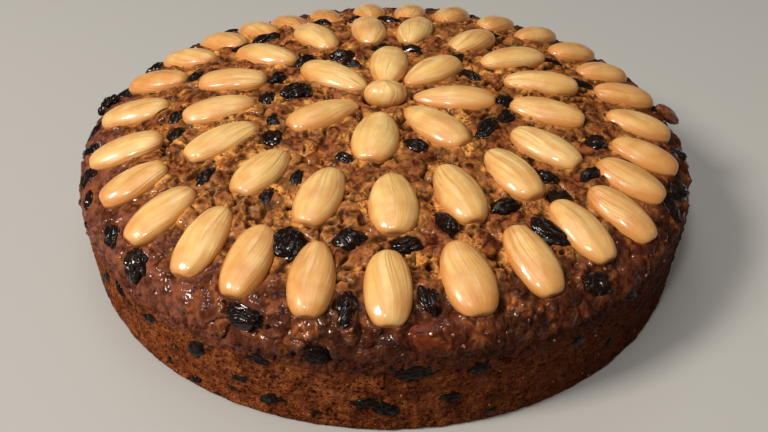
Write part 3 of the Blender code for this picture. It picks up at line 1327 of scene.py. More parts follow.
class Crust:
    """The baked cake's closed shells: a crown in four quarters, and the wall under it.

    Heights and distances are in metres unless their name ends in MM.
    """

    CROWN_SQUARES = 304  # each way, in each quarter
    CROWN_FOOT = 0.0190  # height at which the crown turns under
    UNDER_INSET = 0.94  # how far it is drawn in there
    UNDER = -0.5  # halfway from the sheet, at 0, to what lies under it, at -1
    TURN_MM = (31.5, 26.5)  # height over which the top's relief gives way to the side's
    INSIDE_MM = (-0.35, -1.5)  # depth in a piece over which the crust sinks out of sight
    SUNK_MM = 1.4
    SEAM = 0.0226  # height at which the crown gives way to the wall
    SEAM_WANDER_MM = 1.1
    TUCK_MM = 1.6  # how far the crown turns in below the seam
    BEHIND_MM = 0.08  # how far the wall lies behind the crown
    WALL_TUCK_MM = 1.5
    WALL_TOP = 0.0245
    WALL_TURNS = 1450
    WALL_ROWS = 57
    MAP_BORDER = (0.485, 0.5)  # half the map: the sheet itself, and with its underside
    COVER_SCALE = 0.003  # the underside's cover isn't seen, so it takes no room

    def __init__(self, form: CakeForm) -> None:
        """Takes the outline that the shells follow."""
        self.form = form

    def seam(self, points: Array) -> Array:
        """How high points are above the crown's wandering edge, in millimetres."""
        wander = self.SEAM_WANDER_MM * MM * fractal(points * (1000.0, 1000.0, 0.0), 9.0, 3, 171)
        return (points[:, 2] - (self.SEAM + wander)) / MM

    def crown(self, quarter: int, nuts: Neighbours, fruits: Neighbours) -> Mesh:
        """A quarter of the top, the shoulder and the upper side, closed underneath.

        Args:
            quarter: 0 to 3, anticlockwise from the right.
            nuts: The almonds.
            fruits: The pieces of fruit.

        Returns:
            The mesh, with the crust's masks.
        """
        mesh = self.sheet(f"cake_crown_{quarter + 1}")
        sheet = coordinates(mesh)
        out, angle = disc_from_square(sheet[:, 0], sheet[:, 1])
        plain, normals = self.on_outline(out, angle + quarter * math.pi / 2.0)
        plain = self.form.wander(plain)
        nut, fruit = nuts.distance(plain), fruits.distance(plain)
        in_mm = plain / MM
        share = step(in_mm[:, 2] + 1.5 * fractal(in_mm, 8.0, 2, 181), *self.TURN_MM)
        relief = TopCrust(in_mm, nut, fruit).relief().mixed(SideCrust(in_mm).relief(), share)
        inside = step(np.minimum(nut, fruit), *self.INSIDE_MM)
        height = relief.height * (1.0 - inside) - self.SUNK_MM * inside
        height -= self.TUCK_MM * step(self.seam(plain), 0.3, -0.7)
        points = plain + normals * (height * MM)[:, None]
        under = sheet[:, 2] < self.UNDER
        points[under, 2] = self.CROWN_FOOT - MM
        points[under & (out > 1.0 - 1e-6)] *= (self.UNDER_INSET, self.UNDER_INSET, 1.0)
        move_to(mesh, points)
        turn_outwards(mesh)
        note(mesh, relief.masks)
        self.map_quarter(mesh, sheet)
        return mesh

    def sheet(self, name: str) -> Mesh:
        """A square sheet of small squares with a skirt and a cover under it, all closed.

        Args:
            name: The mesh's name.

        Returns:
            The mesh: the sheet at a height of 0, from 0 to 1 each way, the cover at -1.
        """
        bm = bmesh.new()
        squares = self.CROWN_SQUARES
        bmesh.ops.create_grid(bm, x_segments=squares, y_segments=squares, size=0.5)
        bmesh.ops.translate(bm, verts=bm.verts, vec=(0.5, 0.5, 0.0))
        rim = [edge for edge in bm.edges if edge.is_boundary]
        under = bmesh.ops.extrude_edge_only(bm, edges=rim)["geom"]
        low = [part for part in under if isinstance(part, bmesh.types.BMVert)]
        bmesh.ops.translate(bm, verts=low, vec=(0.0, 0.0, -1.0))
        bmesh.ops.holes_fill(bm, edges=[e for e in bm.edges if e.is_boundary], sides=0)
        for edge in rim:
            edge.smooth = False
        return shaped(bm, name)

    def map_quarter(self, mesh: Mesh, sheet: Array) -> None:
        """Lays the crown's map: the sheet itself, with its skirt round its edge.

        Args:
            mesh: The crown.
            sheet: The places that its vertices had in the flat sheet.
        """
        border = np.where(sheet[:, 2:] < self.UNDER, self.MAP_BORDER[1], self.MAP_BORDER[0])
        across, up = ((sheet[:, :2] - 0.5) * 2.0 * border + 0.5).T
        laid = unfolded(mesh, across, up)
        cover = max(mesh.polygons, key=lambda face: face.loop_total)
        laid[cover.loop_start : cover.loop_start + cover.loop_total] *= self.COVER_SCALE
        lay_map(mesh, laid)

    def on_outline(self, out: Array, angle: Array) -> tuple[Array, Array]:
        """Points and outward normals on the plain cake.

        Args:
            out: 0 at the middle of the top and 1 where the crown turns under.
            angle: Round the axis, in radians.

        Returns:
            The points in metres, and the normals.
        """
        outline = self.form.outline()
        outline = outline[outline[:, 1] >= self.CROWN_FOOT]
        steps = np.linalg.norm(np.diff(outline, axis=0), axis=1)
        along = np.concatenate([[0.0], np.cumsum(steps)])
        tangent = np.gradient(outline, along, axis=0)
        where = out * along[-1]
        radius, height, run, fall = (
            np.interp(where, along, column) for column in (*outline.T, *tangent.T)
        )
        length = np.hypot(run, fall)
        around = np.stack([np.cos(angle), np.sin(angle)], axis=1)
        points = np.column_stack([around * radius[:, None], height])
        normals = np.column_stack([around * (-fall / length)[:, None], run / length])
        return points, normals

    def wall(self) -> Mesh:
        """The side below the crown, and the flat underside.

        Returns:
            The mesh, with the crust's masks.
        """
        form = self.form
        bm = bmesh.new()
        bmesh.ops.create_cone(
            bm,
            cap_ends=True,
            cap_tris=True,
            segments=self.WALL_TURNS,
            radius1=form.base_radius,
            radius2=form.radius,
            depth=self.WALL_TOP,
        )
        bmesh.ops.translate(bm, verts=bm.verts, vec=(0.0, 0.0, self.WALL_TOP / 2.0))
        upright = [e for e in bm.edges if abs(e.verts[0].co.z - e.verts[1].co.z) > MM]
        bmesh.ops.subdivide_edges(bm, edges=upright, cuts=self.WALL_ROWS - 1)
        mesh = shaped(bm, "cake_wall")

        plain = coordinates(mesh)
        out = np.hypot(plain[:, 0], plain[:, 1])
        points = form.wander(plain)
        relief = SideCrust(points / MM).relief()
        foot = np.clip(1.0 - plain[:, 2] / form.base_rounding, 0.0, 1.0)
        height = relief.height * (1.0 - foot)
        height -= (1.0 - np.sqrt(1.0 - foot**2)) * form.base_rounding / MM
        height -= self.BEHIND_MM + self.WALL_TUCK_MM * step(self.seam(points), 0.5, 1.4)
        around = plain * (1.0, 1.0, 0.0) / np.maximum(out, MM)[:, None]
        on_face = out > form.base_radius / 2.0
        move_to(mesh, points + around * (height * on_face * MM)[:, None])
        turn_outwards(mesh)
        note(mesh, relief.masks)
        turn = np.arctan2(plain[:, 1], plain[:, 0]) / math.tau % 1.0
        ends = np.where(plain[:, 2] > MM, 1.0, 0.0)
        up = np.where(on_face, 0.1 + 0.8 * plain[:, 2] / self.WALL_TOP, ends)
        lay_map(mesh, unfolded(mesh, np.where(on_face, turn, 0.5), up))
        return mesh


def disc_from_square(x: Array, y: Array) -> tuple[Array, Array]:
    """Spreads a square evenly over a disc.

    Args:
        x: From -1 to 1.
        y: From -1 to 1.

    Returns:
        Distance from the disc's middle, from 0 to 1, and angle in radians.
    """
    wide = np.abs(x) >= np.abs(y)
    larger = np.where(wide, x, y)
    smaller = np.where(wide, y, x)
    share = smaller / np.where(larger == 0.0, 1.0, larger) * math.pi / 4.0
    angle = np.where(wide, share, math.pi / 2.0 - share)
    return np.abs(larger), angle + np.where(larger < 0.0, math.pi, 0.0)


# ---------------------------------------------------------------- almonds


@dataclass(frozen=True)
class Almond:
    """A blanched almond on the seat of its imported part. Its lengths are in millimetres."""

    node: str
    seat: Seat
    seed: int
    baked: float  # from 0, pale, to 1, toasted
    taper: float  # how much the outer end is fuller than the inner one
    ends: tuple[float, float] = (0.24, 0.32)  # how blunt the inner and outer ends are
    swell: float = 0.24  # height of the soft ridges
    scar: float = 0.35  # depth of the dimple at the outer end
    tip: float = 0.25  # how much the inner end is worn
    bend: float = 0.25  # how far its middle may lie to one side
    toast_and_shade_heights: tuple[float, float] = (3.4, 0.2)  # heights over the crust where toasting and painted shade fade in

    SEGMENTS = 52
    STATIONS = 38
    BALL = "almond_ball"
    FIBRES_AROUND = 2.2  # radius of the circle that the fibres' pattern is read on
    FIBRES_ALONG = 0.26  # less, so that the pattern is drawn out into fibres

    def plain(self) -> Mesh:
        """A ball with its poles on the X axis, made once and then copied.

        Returns:
            The mesh that is kept for copying.
        """
        if self.BALL not in bpy.data.meshes:
            bm = bmesh.new()
            bmesh.ops.create_uvsphere(
                bm, u_segments=self.SEGMENTS, v_segments=self.STATIONS, radius=1.0
            )
            onto_x = Matrix.Rotation(math.pi / 2.0, 3, "Y")
            bmesh.ops.rotate(bm, verts=bm.verts, cent=(0.0, 0.0, 0.0), matrix=onto_x)
            shaped(bm, self.BALL)
        return bpy.data.meshes[self.BALL]

    def build(self) -> Mesh:
        """Makes the almond.

        Returns:
            The mesh, in place, with the attributes of its finish.
        """
        mesh = self.plain().copy()
        mesh.name = self.node + "_blanched"
        along, across, up = coordinates(mesh).T
        chance = np.random.default_rng(self.seed)
        taper = self.taper + chance.uniform(-0.05, 0.05)
        blunt = self.ends[0] + (self.ends[1] - self.ends[0]) * (along + 1.0) / 2.0
        station = np.maximum(0.01, np.hypot(across, up))
        angle = np.arctan2(up, across)
        turned = angle + 0.22 * np.sin(1.9 * along + chance.uniform(0.0, 6.0))
        around = self.FIBRES_AROUND
        grain = np.stack(
            [around * np.cos(turned), around * np.sin(turned), self.FIBRES_ALONG * along], axis=1
        )
        grain += chance.uniform(-40.0, 40.0, 3)
        swell = ripple(grain, 1.15, int(chance.integers(1, 9000)))
        relief = self.swell * swell * step(station, 0.06, 0.50)
        fullness = (1.0 + taper * (along - along**2)) / station**blunt
        half = self.seat.half
        bend = chance.uniform(-self.bend, self.bend) * (1.0 - along**2)
        scar = near(station, 0.20) * (along > 0.0)
        tip = near(station, 0.16) * (along < 0.0)
        own = np.stack(
            [
                along * half.x - self.scar * MM * scar - self.tip * MM * tip,
                across * fullness * half.y + (relief * np.cos(angle) + bend) * MM,
                up * fullness * half.z + relief * np.sin(angle) * MM,
            ],
            axis=1,
        )
        points = self.seat.placed(own)
        move_to(mesh, points)
        turn_outwards(mesh)
        above = points[:, 2] - CakeForm().top_height(np.hypot(points[:, 0], points[:, 1]))
        tone = np.clip(self.baked + chance.uniform(-0.30, 0.30), 0.0, 1.0)
        attributes = {
            "grain": grain,
            "edge": up,
            "along": (along + 1.0) / 2.0,
            "tone": np.full(len(points), tone),
            # toasting, and painted shade where the almond meets the crust
            "low": step(above, self.toast_and_shade_heights[0] * MM, self.toast_and_shade_heights[1] * MM),
            "scar": 0.6 * scar,
        }
        note(mesh, attributes)
        return mesh


@dataclass
class AlmondTopping:
    """All the almonds: three rings of lying ones round an upright one."""

    # name, how many, how toasted, taper
    rings: tuple[tuple[str, int, float, float], ...] = (
        ("almond_outer", 29, 0.62, 0.06),
        ("almond_middle", 17, 0.24, 0.06),
        ("almond_inner", 7, 0.26, 0.16),
    )
    browner: float = 0.10  # painted shade: how much more toasted the almonds away from the key light are coloured
    centre: str = "almond_centre"
    dome: float = 0.0048  # from the top of the upright almond to its widest level
    dome_ends: tuple[float, float] = (0.10, 0.10)
    dome_baked: float = 0.55
    seed: int = 600

    def almonds(self) -> list[Almond]:
        """Seats every almond.

        Returns:
            The almonds, from the outer ring inwards.
        """
        made: list[Almond] = []
        for ring, count, toasted, taper in self.rings:
            for index in range(count):
                name = f"{ring}_{index + 1:02d}"
                seat = Seat.of_node(name)
                # painted shade: almonds away from the key light are coloured more toasted
                away_from_key = seat.middle.dot(Vector(CrustFinish.lit_side)) / -CakeForm.radius
                baked = toasted + self.browner * away_from_key
                made.append(Almond(name, seat, self.seed + len(made), baked, taper))
        last = self.seed + len(made)
        dome = Almond(self.centre, self.upright(), last, self.dome_baked, 0.0, self.dome_ends)
        return [*made, dome]

    def upright(self) -> Seat:
        """The seat of what shows of the upright almond.

        Returns:
            The seat, with its long axis down.
        """
        whole = Seat.of_node(self.centre, Vector((0.0, 0.0, -1.0)))
        hidden = whole.half.x - self.dome
        half = Vector((self.dome, whole.half.y, whole.half.z))
        return Seat(whole.middle - whole.along * hidden, whole.along, whole.across, half)

    def build(self, material: Material) -> None:
        """Builds and dresses the almonds, each in place of its own part."""
        for almond in self.almonds():
            add_piece(almond.build(), material, Slot.ALMOND, [almond.node])


# ---------------------------------------------------------------- dried fruit


@dataclass(frozen=True)
class DriedFruit:
    """A wrinkled piece of dried fruit."""

    seat: Seat
    seed: int
    fineness: int = 4
    depth: float = 0.20  # of its folds, as a share of its half size

    def wrinkled(self, ball: Array) -> tuple[Array, Array]:
        """Shapes the ball.

        Args:
            ball: Points on a ball of radius 1.

        Returns:
            The points in place, and how deep each lies in a fold, from 0 to 1.
        """
        chance = np.random.default_rng(self.seed)
        shift = chance.uniform(-60.0, 60.0, 3)
        seed = int(chance.integers(1, 9000))
        bent = warped(ball * (0.75, 1.2, 1.1) + shift, 0.9, 0.40, seed)
        large = lines(ripple(bent, 0.86, seed + 21), 0.38)
        small = lines(ripple(bent, 0.46, seed + 22), 0.40)
        lumpy = ripple(ball + shift, 0.9, seed + 23)
        fold = np.clip(0.70 * large + 0.5 * small, 0.0, 1.0)
        reach = 1.07 + 0.20 * lumpy - 0.75 * self.depth * large - 0.35 * self.depth * small
        return self.seat.placed(ball * reach[:, None] * np.array(self.seat.half)), fold


def fruit_mesh(name: str, fruits: Sequence[DriedFruit]) -> Mesh:
    """One mesh of several wrinkled pieces.

    Args:
        name: The mesh's name.
        fruits: The pieces.

    Returns:
        The mesh, with the attribute fold.
    """
    bm = bmesh.new()
    counts = []
    for fruit in fruits:
        ball = plain_ball(fruit.fineness)
        bm.from_mesh(ball)
        counts.append(len(ball.vertices))
    mesh = shaped(bm, name)
    balls = np.split(coordinates(mesh), np.cumsum(counts)[:-1])
    parts = [fruit.wrinkled(ball) for fruit, ball in zip(fruits, balls)]
    move_to(mesh, np.concatenate([points for points, _ in parts]))
    turn_outwards(mesh)
    note(mesh, {"fold": np.concatenate([fold for _, fold in parts])})
    return mesh


@dataclass(frozen=True)
class Spot:
    """Where a piece lies on the crust. Lengths are in millimetres, angles in degrees."""

    angle: float  # round the cake, anticlockwise from the right
    place: float  # distance from the axis on the top, or height on the side
    size: tuple[float, float, float]  # length, width and thickness
    turn: float  # from pointing outwards on the top, or from level on the side
    lift: float  # of its middle above the crust

    def on_top(self, form: CakeForm) -> Seat:
        """Seats the piece on the top.

        Args:
            form: The cake's outline.

        Returns:
            The seat.
        """
        outwards, level = self.directions()
        outline = form.outline()
        upper = outline[outline[:, 1] > form.shoulder_height].T
        height = float(np.interp(self.place * MM, *upper))
        further_in = float(np.interp((self.place - 1.0) * MM, *upper))
        fall = math.atan2(further_in - height, MM)
        foot = outwards * self.place * MM + Vector((0.0, 0.0, height))
        up = outwards * math.sin(fall) + Vector((0.0, 0.0, math.cos(fall)))
        return self.seat(foot, up, level.cross(up))

    def in_side(self, form: CakeForm) -> Seat:
        """Seats the piece in the side.

        Args:
            form: The cake's outline.

        Returns:
            The seat.
        """
        outwards, level = self.directions()
        foot = outwards * form.side_radius(self.place * MM) + Vector((0.0, 0.0, self.place * MM))
        return self.seat(foot, outwards, level)

    def directions(self) -> tuple[Vector, Vector]:
        """Which way is outwards, and which way is level along the side."""
        x, y = math.cos(math.radians(self.angle)), math.sin(math.radians(self.angle))
        return Vector((x, y, 0.0)), Vector((-y, x, 0.0))

    def seat(self, foot: Vector, up: Vector, first: Vector) -> Seat:
        """Seats the piece on the crust.

        Args:
            foot: The point of the crust under its middle.
            up: Out of the crust there.
            first: Where its long axis points before it is turned.

        Returns:
            The seat.
        """
        along = Matrix.Rotation(math.radians(self.turn), 3, up) @ first
        middle, half = foot + up * self.lift * MM, Vector(self.size) * MM / 2.0
        return Seat(middle, along, up.cross(along), half)


def apart(seat: Seat, others: Iterable[Seat], least: float) -> bool:
    """Whether the seat is more than this many millimetres from the others."""
    return min((seat.middle - other.middle).length for other in others) > least * MM


@dataclass
class FruitTopping:
    """The raisins, currants, peel and cherry that show in the crust."""

    form: CakeForm
    seed: int = 900
    large: tuple[str, ...] = (
        "raisin_rim_front",
        "raisin_rim_left",
        "raisin_rim_back",
        "raisin_top_left",
    )
    large_depth: float = 0.30
    peel: str = "peel_rim_right"
    peel_depth: float = 0.14
    cherry: Spot = Spot(-82.5, 96.6, (15.0, 7.5, 4.0), 84.0, -1.9)
    cherry_depth: float = 0.05
    top: tuple[Spot, ...] = (
        Spot(-110.9, 73.7, (11.5, 10.5, 7.0), 20.0, -0.8),
        Spot(115.4, 34.9, (10.0, 7.0, 5.5), 70.0, -0.6),
        Spot(115.0, 27.4, (8.0, 6.0, 5.0), 20.0, -0.7),
        Spot(30.4, 33.4, (12.5, 6.0, 5.0), 85.0, -0.4),
        Spot(-175.9, 67.3, (9.0, 6.0, 5.0), 60.0, -0.8),
        Spot(-147.0, 41.1, (10.0, 7.5, 5.5), 80.0, -0.8),
        Spot(-143.1, 65.9, (9.0, 6.0, 5.0), 30.0, -0.7),
        Spot(-123.6, 60.2, (8.0, 5.0, 5.0), 10.0, -0.8),
        Spot(-120.5, 50.0, (8.5, 5.0, 5.0), 15.0, -0.9),
        Spot(-96.2, 90.2, (10.0, 6.0, 5.5), 5.0, -0.6),
        Spot(-97.9, 68.8, (10.5, 8.0, 6.0), 80.0, -0.9),
        Spot(-84.8, 70.6, (10.0, 7.5, 6.0), 100.0, -0.9),
        Spot(-74.7, 63.6, (9.0, 6.0, 5.5), 20.0, -0.7),
        Spot(-70.5, 28.4, (9.0, 6.5, 5.0), 40.0, -0.9),
        Spot(-109.6, 36.4, (8.0, 6.0, 5.0), 60.0, -0.9),
        Spot(-82.3, 87.9, (9.5, 6.0, 5.5), 10.0, -0.7),
        Spot(-27.8, 35.8, (12.0, 7.0, 6.0), 90.0, -0.6),
        Spot(-57.4, 63.6, (9.5, 6.5, 5.5), 80.0, -0.7),
        Spot(-53.4, 77.2, (14.5, 8.0, 6.0), 15.0, -1.0),
        Spot(-39.5, 61.6, (8.5, 5.5, 5.0), 30.0, -0.8),
        Spot(-29.7, 71.1, (10.0, 5.5, 5.0), 75.0, -0.8),
        Spot(-144.8, 96.2, (9.0, 6.0, 5.0), 80.0, -1.0),
        Spot(-157.5, 97.0, (9.5, 6.0, 5.0), 70.0, -1.1),
        Spot(-52.5, 95.8, (9.0, 7.5, 6.0), 60.0, -1.0),
    )
    more_top: int = 40
    more_rings: tuple[float, ...] = (39.0, 69.0, 96.5)  # between the rings of almonds
    top_spacing: float = 9.0
    off_nuts: float = 1.6
    side: tuple[Spot, ...] = (
        Spot(-121.0, 18.0, (9.5, 5.5, 3.0), 55.0, -0.9),
        Spot(-108.0, 8.0, (9.0, 5.0, 3.0), 30.0, -0.9),
        Spot(-93.0, 12.0, (8.5, 4.0, 2.8), 20.0, -0.9),
        Spot(-89.6, 9.5, (8.0, 6.0, 3.0), -20.0, -0.8),
        Spot(-85.6, 23.7, (11.0, 6.5, 3.2), 5.0, -0.9),
        Spot(-79.6, 12.8, (7.0, 4.5, 3.0), 10.0, -0.8),
        Spot(-100.0, 28.6, (9.0, 6.0, 3.6), 20.0, -0.6),
    )
    more_side: int = 66
    side_spacing: float = 8.5
    side_depth: float = 0.26

    def in_top(self, nuts: Neighbours) -> list[DriedFruit]:
        """The smaller pieces on the top: those at the front, and chance ones elsewhere.

        Args:
            nuts: The almonds, which the pieces keep clear of.

        Returns:
            The pieces.
        """
        chance = np.random.default_rng(self.seed)
        fine = len(self.top)
        seats = [spot.on_top(self.form) for spot in self.top]
        while len(seats) < fine + self.more_top:
            angle = chance.uniform(-45.0, 200.0)
            out = chance.choice(self.more_rings) + chance.uniform(-1.5, 1.5)
            size = (chance.uniform(8.0, 12.0), chance.uniform(6.0, 8.5), chance.uniform(4.5, 6.0))
            seat = Spot(angle, out, size, chance.uniform(40.0, 140.0), -0.9).on_top(self.form)
            clear = nuts.distance(np.array([seat.middle]))[0] > self.off_nuts
            if clear and apart(seat, seats, self.top_spacing):
                seats.append(seat)
        return [
            DriedFruit(seat, self.seed + 40 + i, fineness=5 if i < fine else 4)
            for i, seat in enumerate(seats)
        ]

    def in_side(self) -> list[DriedFruit]:
        """The pieces that show in the side: those at the front, and chance ones elsewhere.

        Returns:
            The pieces.
        """
        chance = np.random.default_rng(self.seed + 1)
        seats = [spot.in_side(self.form) for spot in self.side]
        while len(seats) < len(self.side) + self.more_side:
            angle, height = chance.uniform(0.0, 360.0), chance.uniform(3.5, 27.0)
            size = (chance.uniform(3.5, 10.0), chance.uniform(2.8, 5.5), 2.6)
            turn, lift = chance.uniform(-50.0, 50.0), chance.uniform(-1.0, -0.7)
            seat = Spot(angle, height, size, turn, lift).in_side(self.form)
            if apart(seat, seats, self.side_spacing):
                seats.append(seat)
        return [
            DriedFruit(seat, self.seed + 140 + i, depth=self.side_depth)
            for i, seat in enumerate(seats)
        ]

    def build(self, nuts: Neighbours, effects: Effects) -> list[Mesh]:
        """Builds and dresses all the fruit.

        Args:
            nuts: The almonds.
            effects: The shared effects.

        Returns:
            The meshes, for the crust to close round.
        """
        dark = RAISIN_FINISH.make(effects)
        baked = BAKED_RAISIN_FINISH.make(effects)
        peel = DriedFruit(Seat.of_node(self.peel), self.seed + 30, 5, self.peel_depth)
        cherry = DriedFruit(self.cherry.on_top(self.form), self.seed + 31, 5, self.cherry_depth)
        pieces = [
            (
                name + "_wrinkled",
                [DriedFruit(Seat.of_node(name), self.seed + index, 5, self.large_depth)],
                dark,
                Slot.RAISIN,
                [name],
            )
            for index, name in enumerate(self.large)
        ]
        pieces += [
            ("raisins_top", self.in_top(nuts), dark, Slot.RAISIN, []),
            ("raisins_side", self.in_side(), baked, Slot.RAISIN, []),
            ("peel_rim_right_flake", [peel], PEEL_FINISH.make(effects), Slot.PEEL, [self.peel]),
            ("cherry_rim_front", [cherry], CHERRY_FINISH.make(effects), Slot.PEEL, []),
        ]
        meshes = []
        for name, fruits, material, slot, replaced in pieces:
            meshes.append(fruit_mesh(name, fruits))
            add_piece(meshes[-1], material, slot, replaced)
        return meshes


# ---------------------------------------------------------------- crumbs and syrup


@dataclass(frozen=True)
class Surface:
    """Points, normals and masks of a crust, for what is stuck on it."""

    points: Array
    normals: Array
    masks: Mapping[str, Array]

    @classmethod
    def of(cls, shells: Sequence[Mesh]) -> "Surface":
        """Reads shells.

        Args:
            shells: Their meshes, with the crust's masks.

        Returns:
            The surface of them all.
        """
        masks = {n: np.concatenate([noted(m, n) for m in shells]) for n in CRUST_MASKS}
        points = np.concatenate([coordinates(mesh) for mesh in shells])
        return cls(points, np.concatenate([vectors(mesh) for mesh in shells]), masks)


@dataclass(frozen=True)
class Scatter:
    """Small bits stuck to the crust, all in one mesh. Lengths are in millimetres."""

    name: str
    count: int
    radius: tuple[float, float]
    flatness: float
    roughness: float
    seed: int
    stretch: tuple[float, float] = (0.8, 1.3)
    lift: float = 0.15  # of a bit's middle over the crust, as a share of its radius
    rough_size: float = 0.9

    def build(self, crust: Surface, weight: Array, material: Material) -> None:
        """Puts the bits on the crust.

        Args:
            crust: What they sit on.
            weight: How likely each of its points is to hold one.
            material: Their finish.
        """
        chance = np.random.default_rng(self.seed)
        share = weight / weight.sum()
        bm = bmesh.new()
        for index in chance.choice(len(share), self.count, replace=False, p=share):
            bit = plain_ball(2).copy()
            size = chance.uniform(*self.radius) * MM
            up = Vector(crust.normals[index])
            turn = up.to_track_quat("Z", "Y").to_matrix().to_4x4()
            spin = Matrix.Rotation(chance.uniform(0.0, math.tau), 4, "Z")
            length = size * chance.uniform(*self.stretch)
            scale = Matrix.Diagonal((length, size, size * self.flatness, 1.0))
            place = Matrix.Translation(Vector(crust.points[index]) + up * size * self.lift)
            bit.transform(place @ turn @ spin @ scale)
            bm.from_mesh(bit)
            bpy.data.meshes.remove(bit)
        mesh = shaped(bm, self.name)
        mesh.update()
        plain = coordinates(mesh)
        rough = fractal(plain / MM, self.rough_size, 2, self.seed) * self.roughness * MM
        move_to(mesh, plain + vectors(mesh) * rough[:, None])
        turn_outwards(mesh)
        add_piece(mesh, material, Slot.CRUST)


# ---------------------------------------------------------------- the whole cake


class FruitCake:
    """The cake and everything on it."""

    SYRUP = Scatter("syrup_beads", 200, radius=(0.25, 0.60), flatness=0.40, roughness=0.25, seed=71)
    TOP_CRUMBS = Scatter(
        "crumbs_top", 150, radius=(0.25, 0.60), flatness=0.60, roughness=0.55, seed=72
    )
    SIDE_CRUMBS = Scatter(
        "crumbs_side", 110, radius=(0.15, 0.36), flatness=0.35, roughness=0.25, seed=73
    )
    OFF_NUTS_MM = 0.7
    TOP_FROM = 0.024  # height of the lowest bits on the crown
    RIM = (0.076, 0.094)  # out from the axis
    FEW = 0.10  # how likely a bit is where it is least likely
    SIDE_HEIGHTS = (0.001, 0.021)
    SIDE_FROM = 0.0965  # out from the axis

    def __init__(self) -> None:
        """Sets out the parts."""
        self.form = CakeForm()
        self.crust = Crust(self.form)
        self.almonds = AlmondTopping()
        self.fruit = FruitTopping(self.form)

    def build(self) -> None:
        """Builds and dresses every piece."""
        effects = Effects()
        nuts = Neighbours(
            node.data for name, node in packed_nodes().items() if name.startswith("almond")
        )
        fruits = Neighbours(self.fruit.build(nuts, effects))
        self.almonds.build(AlmondFinish().make(effects))
        crust = CrustFinish().make(effects)
        quarters = [self.crust.crown(quarter, nuts, fruits) for quarter in range(4)]
        wall = self.crust.wall()
        for shell in (*quarters, wall):
            add_piece(shell, crust, Slot.CRUST, ["cake"])
        self.scatter(Surface.of(quarters), Surface.of([wall]), nuts, effects)

    def scatter(self, crown: Surface, wall: Surface, nuts: Neighbours, effects: Effects) -> None:
        """Adds the beads of syrup and the crumbs.

        Args:
            crown: The crown's surface.
            wall: The wall's surface.
            nuts: The almonds, which the bits keep off.
            effects: The shared effects.
        """
        syrup, crumb = GlazeFinish().make(effects), CrumbFinish().make(effects)
        off_nuts = nuts.distance(crown.points) > self.OFF_NUTS_MM
        clear = off_nuts * (crown.points[:, 2] > self.TOP_FROM)
        rim = step(np.hypot(crown.points[:, 0], crown.points[:, 1]), *self.RIM)
        self.SYRUP.build(crown, clear * crown.masks["glaze"] * (self.FEW + rim), syrup)
        self.TOP_CRUMBS.build(crown, clear * (self.FEW + crown.masks["gold"]), crumb)
        low, high = self.SIDE_HEIGHTS
        height = wall.points[:, 2]
        on_face = np.hypot(wall.points[:, 0], wall.points[:, 1]) > self.SIDE_FROM
        self.SIDE_CRUMBS.build(wall, (height > low) * (height < high) * on_face * 1.0, crumb)


# ---------------------------------------------------------------- studio


@dataclass(frozen=True)
class Lamp:
    """A soft square light that points at the cake."""

    name: str
    azimuth: float  # degrees from the front, to the left
    height: float  # degrees above the floor
    distance: float
    size: float
    power: float
    colour: Colour
    target: tuple[float, float, float] = (0.0, 0.0, 0.03)

    def build(self) -> None:
        """Adds the light."""
        data = bpy.data.lights.new(self.name, "AREA")
        data.size = self.size
        data.energy = self.power
        data.color = self.colour
        lamp = bpy.data.objects.new(self.name, data)
        azimuth, height = math.radians(self.azimuth), math.radians(self.height)
        level = math.cos(height)
        aim = Vector((-math.sin(azimuth) * level, -math.cos(azimuth) * level, math.sin(height)))
        lamp.location = aim * self.distance + Vector(self.target)
        lamp.rotation_euler = aim.to_track_quat("Z", "Y").to_euler()
        bpy.context.scene.collection.objects.link(lamp)


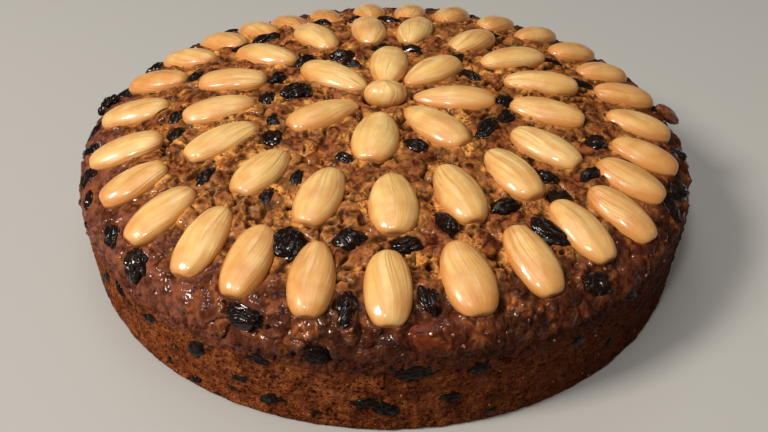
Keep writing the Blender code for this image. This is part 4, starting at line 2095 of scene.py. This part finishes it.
@dataclass(frozen=True)
class Studio:
    """A pale floor, soft light and the camera."""

    floor_size: float = 6.0
    floor_colour: Colour = (0.46, 0.45, 0.435)
    floor_roughness: float = 0.8
    sky: Colour = (1.0, 0.97, 0.93)
    sky_strength: float = 0.055
    lens: float = 45.0
    nearest: float = 0.01
    eye: tuple[float, float, float] = (-0.0001, -0.2736, 0.2046)
    pitch: float = 53.23  # degrees up from straight down
    roll: float = 0.35
    lamps: tuple[Lamp, ...] = (
        Lamp("key", 64.0, 43.0, 1.6, 0.40, 22.0, (1.0, 0.94, 0.85)),
        Lamp("second_key", 22.0, 50.0, 1.6, 0.18, 5.6, (1.0, 0.95, 0.88)),
        Lamp("overhead", 0.0, 82.0, 1.2, 0.8, 3.4, (1.0, 0.96, 0.90)),
        Lamp("back", 165.0, 60.0, 1.5, 0.5, 1.6, (1.0, 0.97, 0.93)),
        Lamp("fill", -110.0, 34.0, 1.4, 1.0, 0.45, (1.0, 0.97, 0.93)),
    )

    def build(self) -> None:
        """Sets up floor, light and camera."""
        self.lay_floor()
        for lamp in self.lamps:
            lamp.build()
        world = bpy.data.worlds.new("studio")
        world.use_nodes = True
        sky = {"Color": self.sky, "Strength": self.sky_strength}
        Graph(world.node_tree).feed(world.node_tree.nodes["Background"], sky)
        scene = bpy.context.scene
        scene.world = world
        scene.view_settings.view_transform = "Standard"
        self.aim_camera()

    def lay_floor(self) -> None:
        """Adds the plain floor."""
        bm = bmesh.new()
        bmesh.ops.create_grid(bm, x_segments=1, y_segments=1, size=self.floor_size / 2.0)
        floor = bpy.data.objects.new("floor", shaped(bm, "floor"))
        material = bpy.data.materials.new("pale_floor")
        material.use_nodes = True
        plain = {"Base Color": self.floor_colour, "Roughness": self.floor_roughness}
        graph = Graph(material.node_tree)
        graph.feed(graph.tree.nodes["Principled BSDF"], plain)
        floor.data.materials.append(material)
        bpy.context.scene.collection.objects.link(floor)

    def aim_camera(self) -> None:
        """Adds the camera."""
        data = bpy.data.cameras.new("camera")
        data.lens = self.lens
        data.clip_start = self.nearest
        camera = bpy.data.objects.new("camera", data)
        tilt = Matrix.Rotation(math.radians(self.pitch), 4, "X")
        roll = Matrix.Rotation(math.radians(self.roll), 4, "Z")
        camera.matrix_world = Matrix.Translation(self.eye) @ tilt @ roll
        bpy.context.scene.collection.objects.link(camera)
        bpy.context.scene.camera = camera


def main() -> None:
    """Builds the studio and the cake."""
    logging.basicConfig(level=logging.INFO, format="%(message)s")
    Studio().build()
    FruitCake().build()


if __name__ == "__main__":
    main()
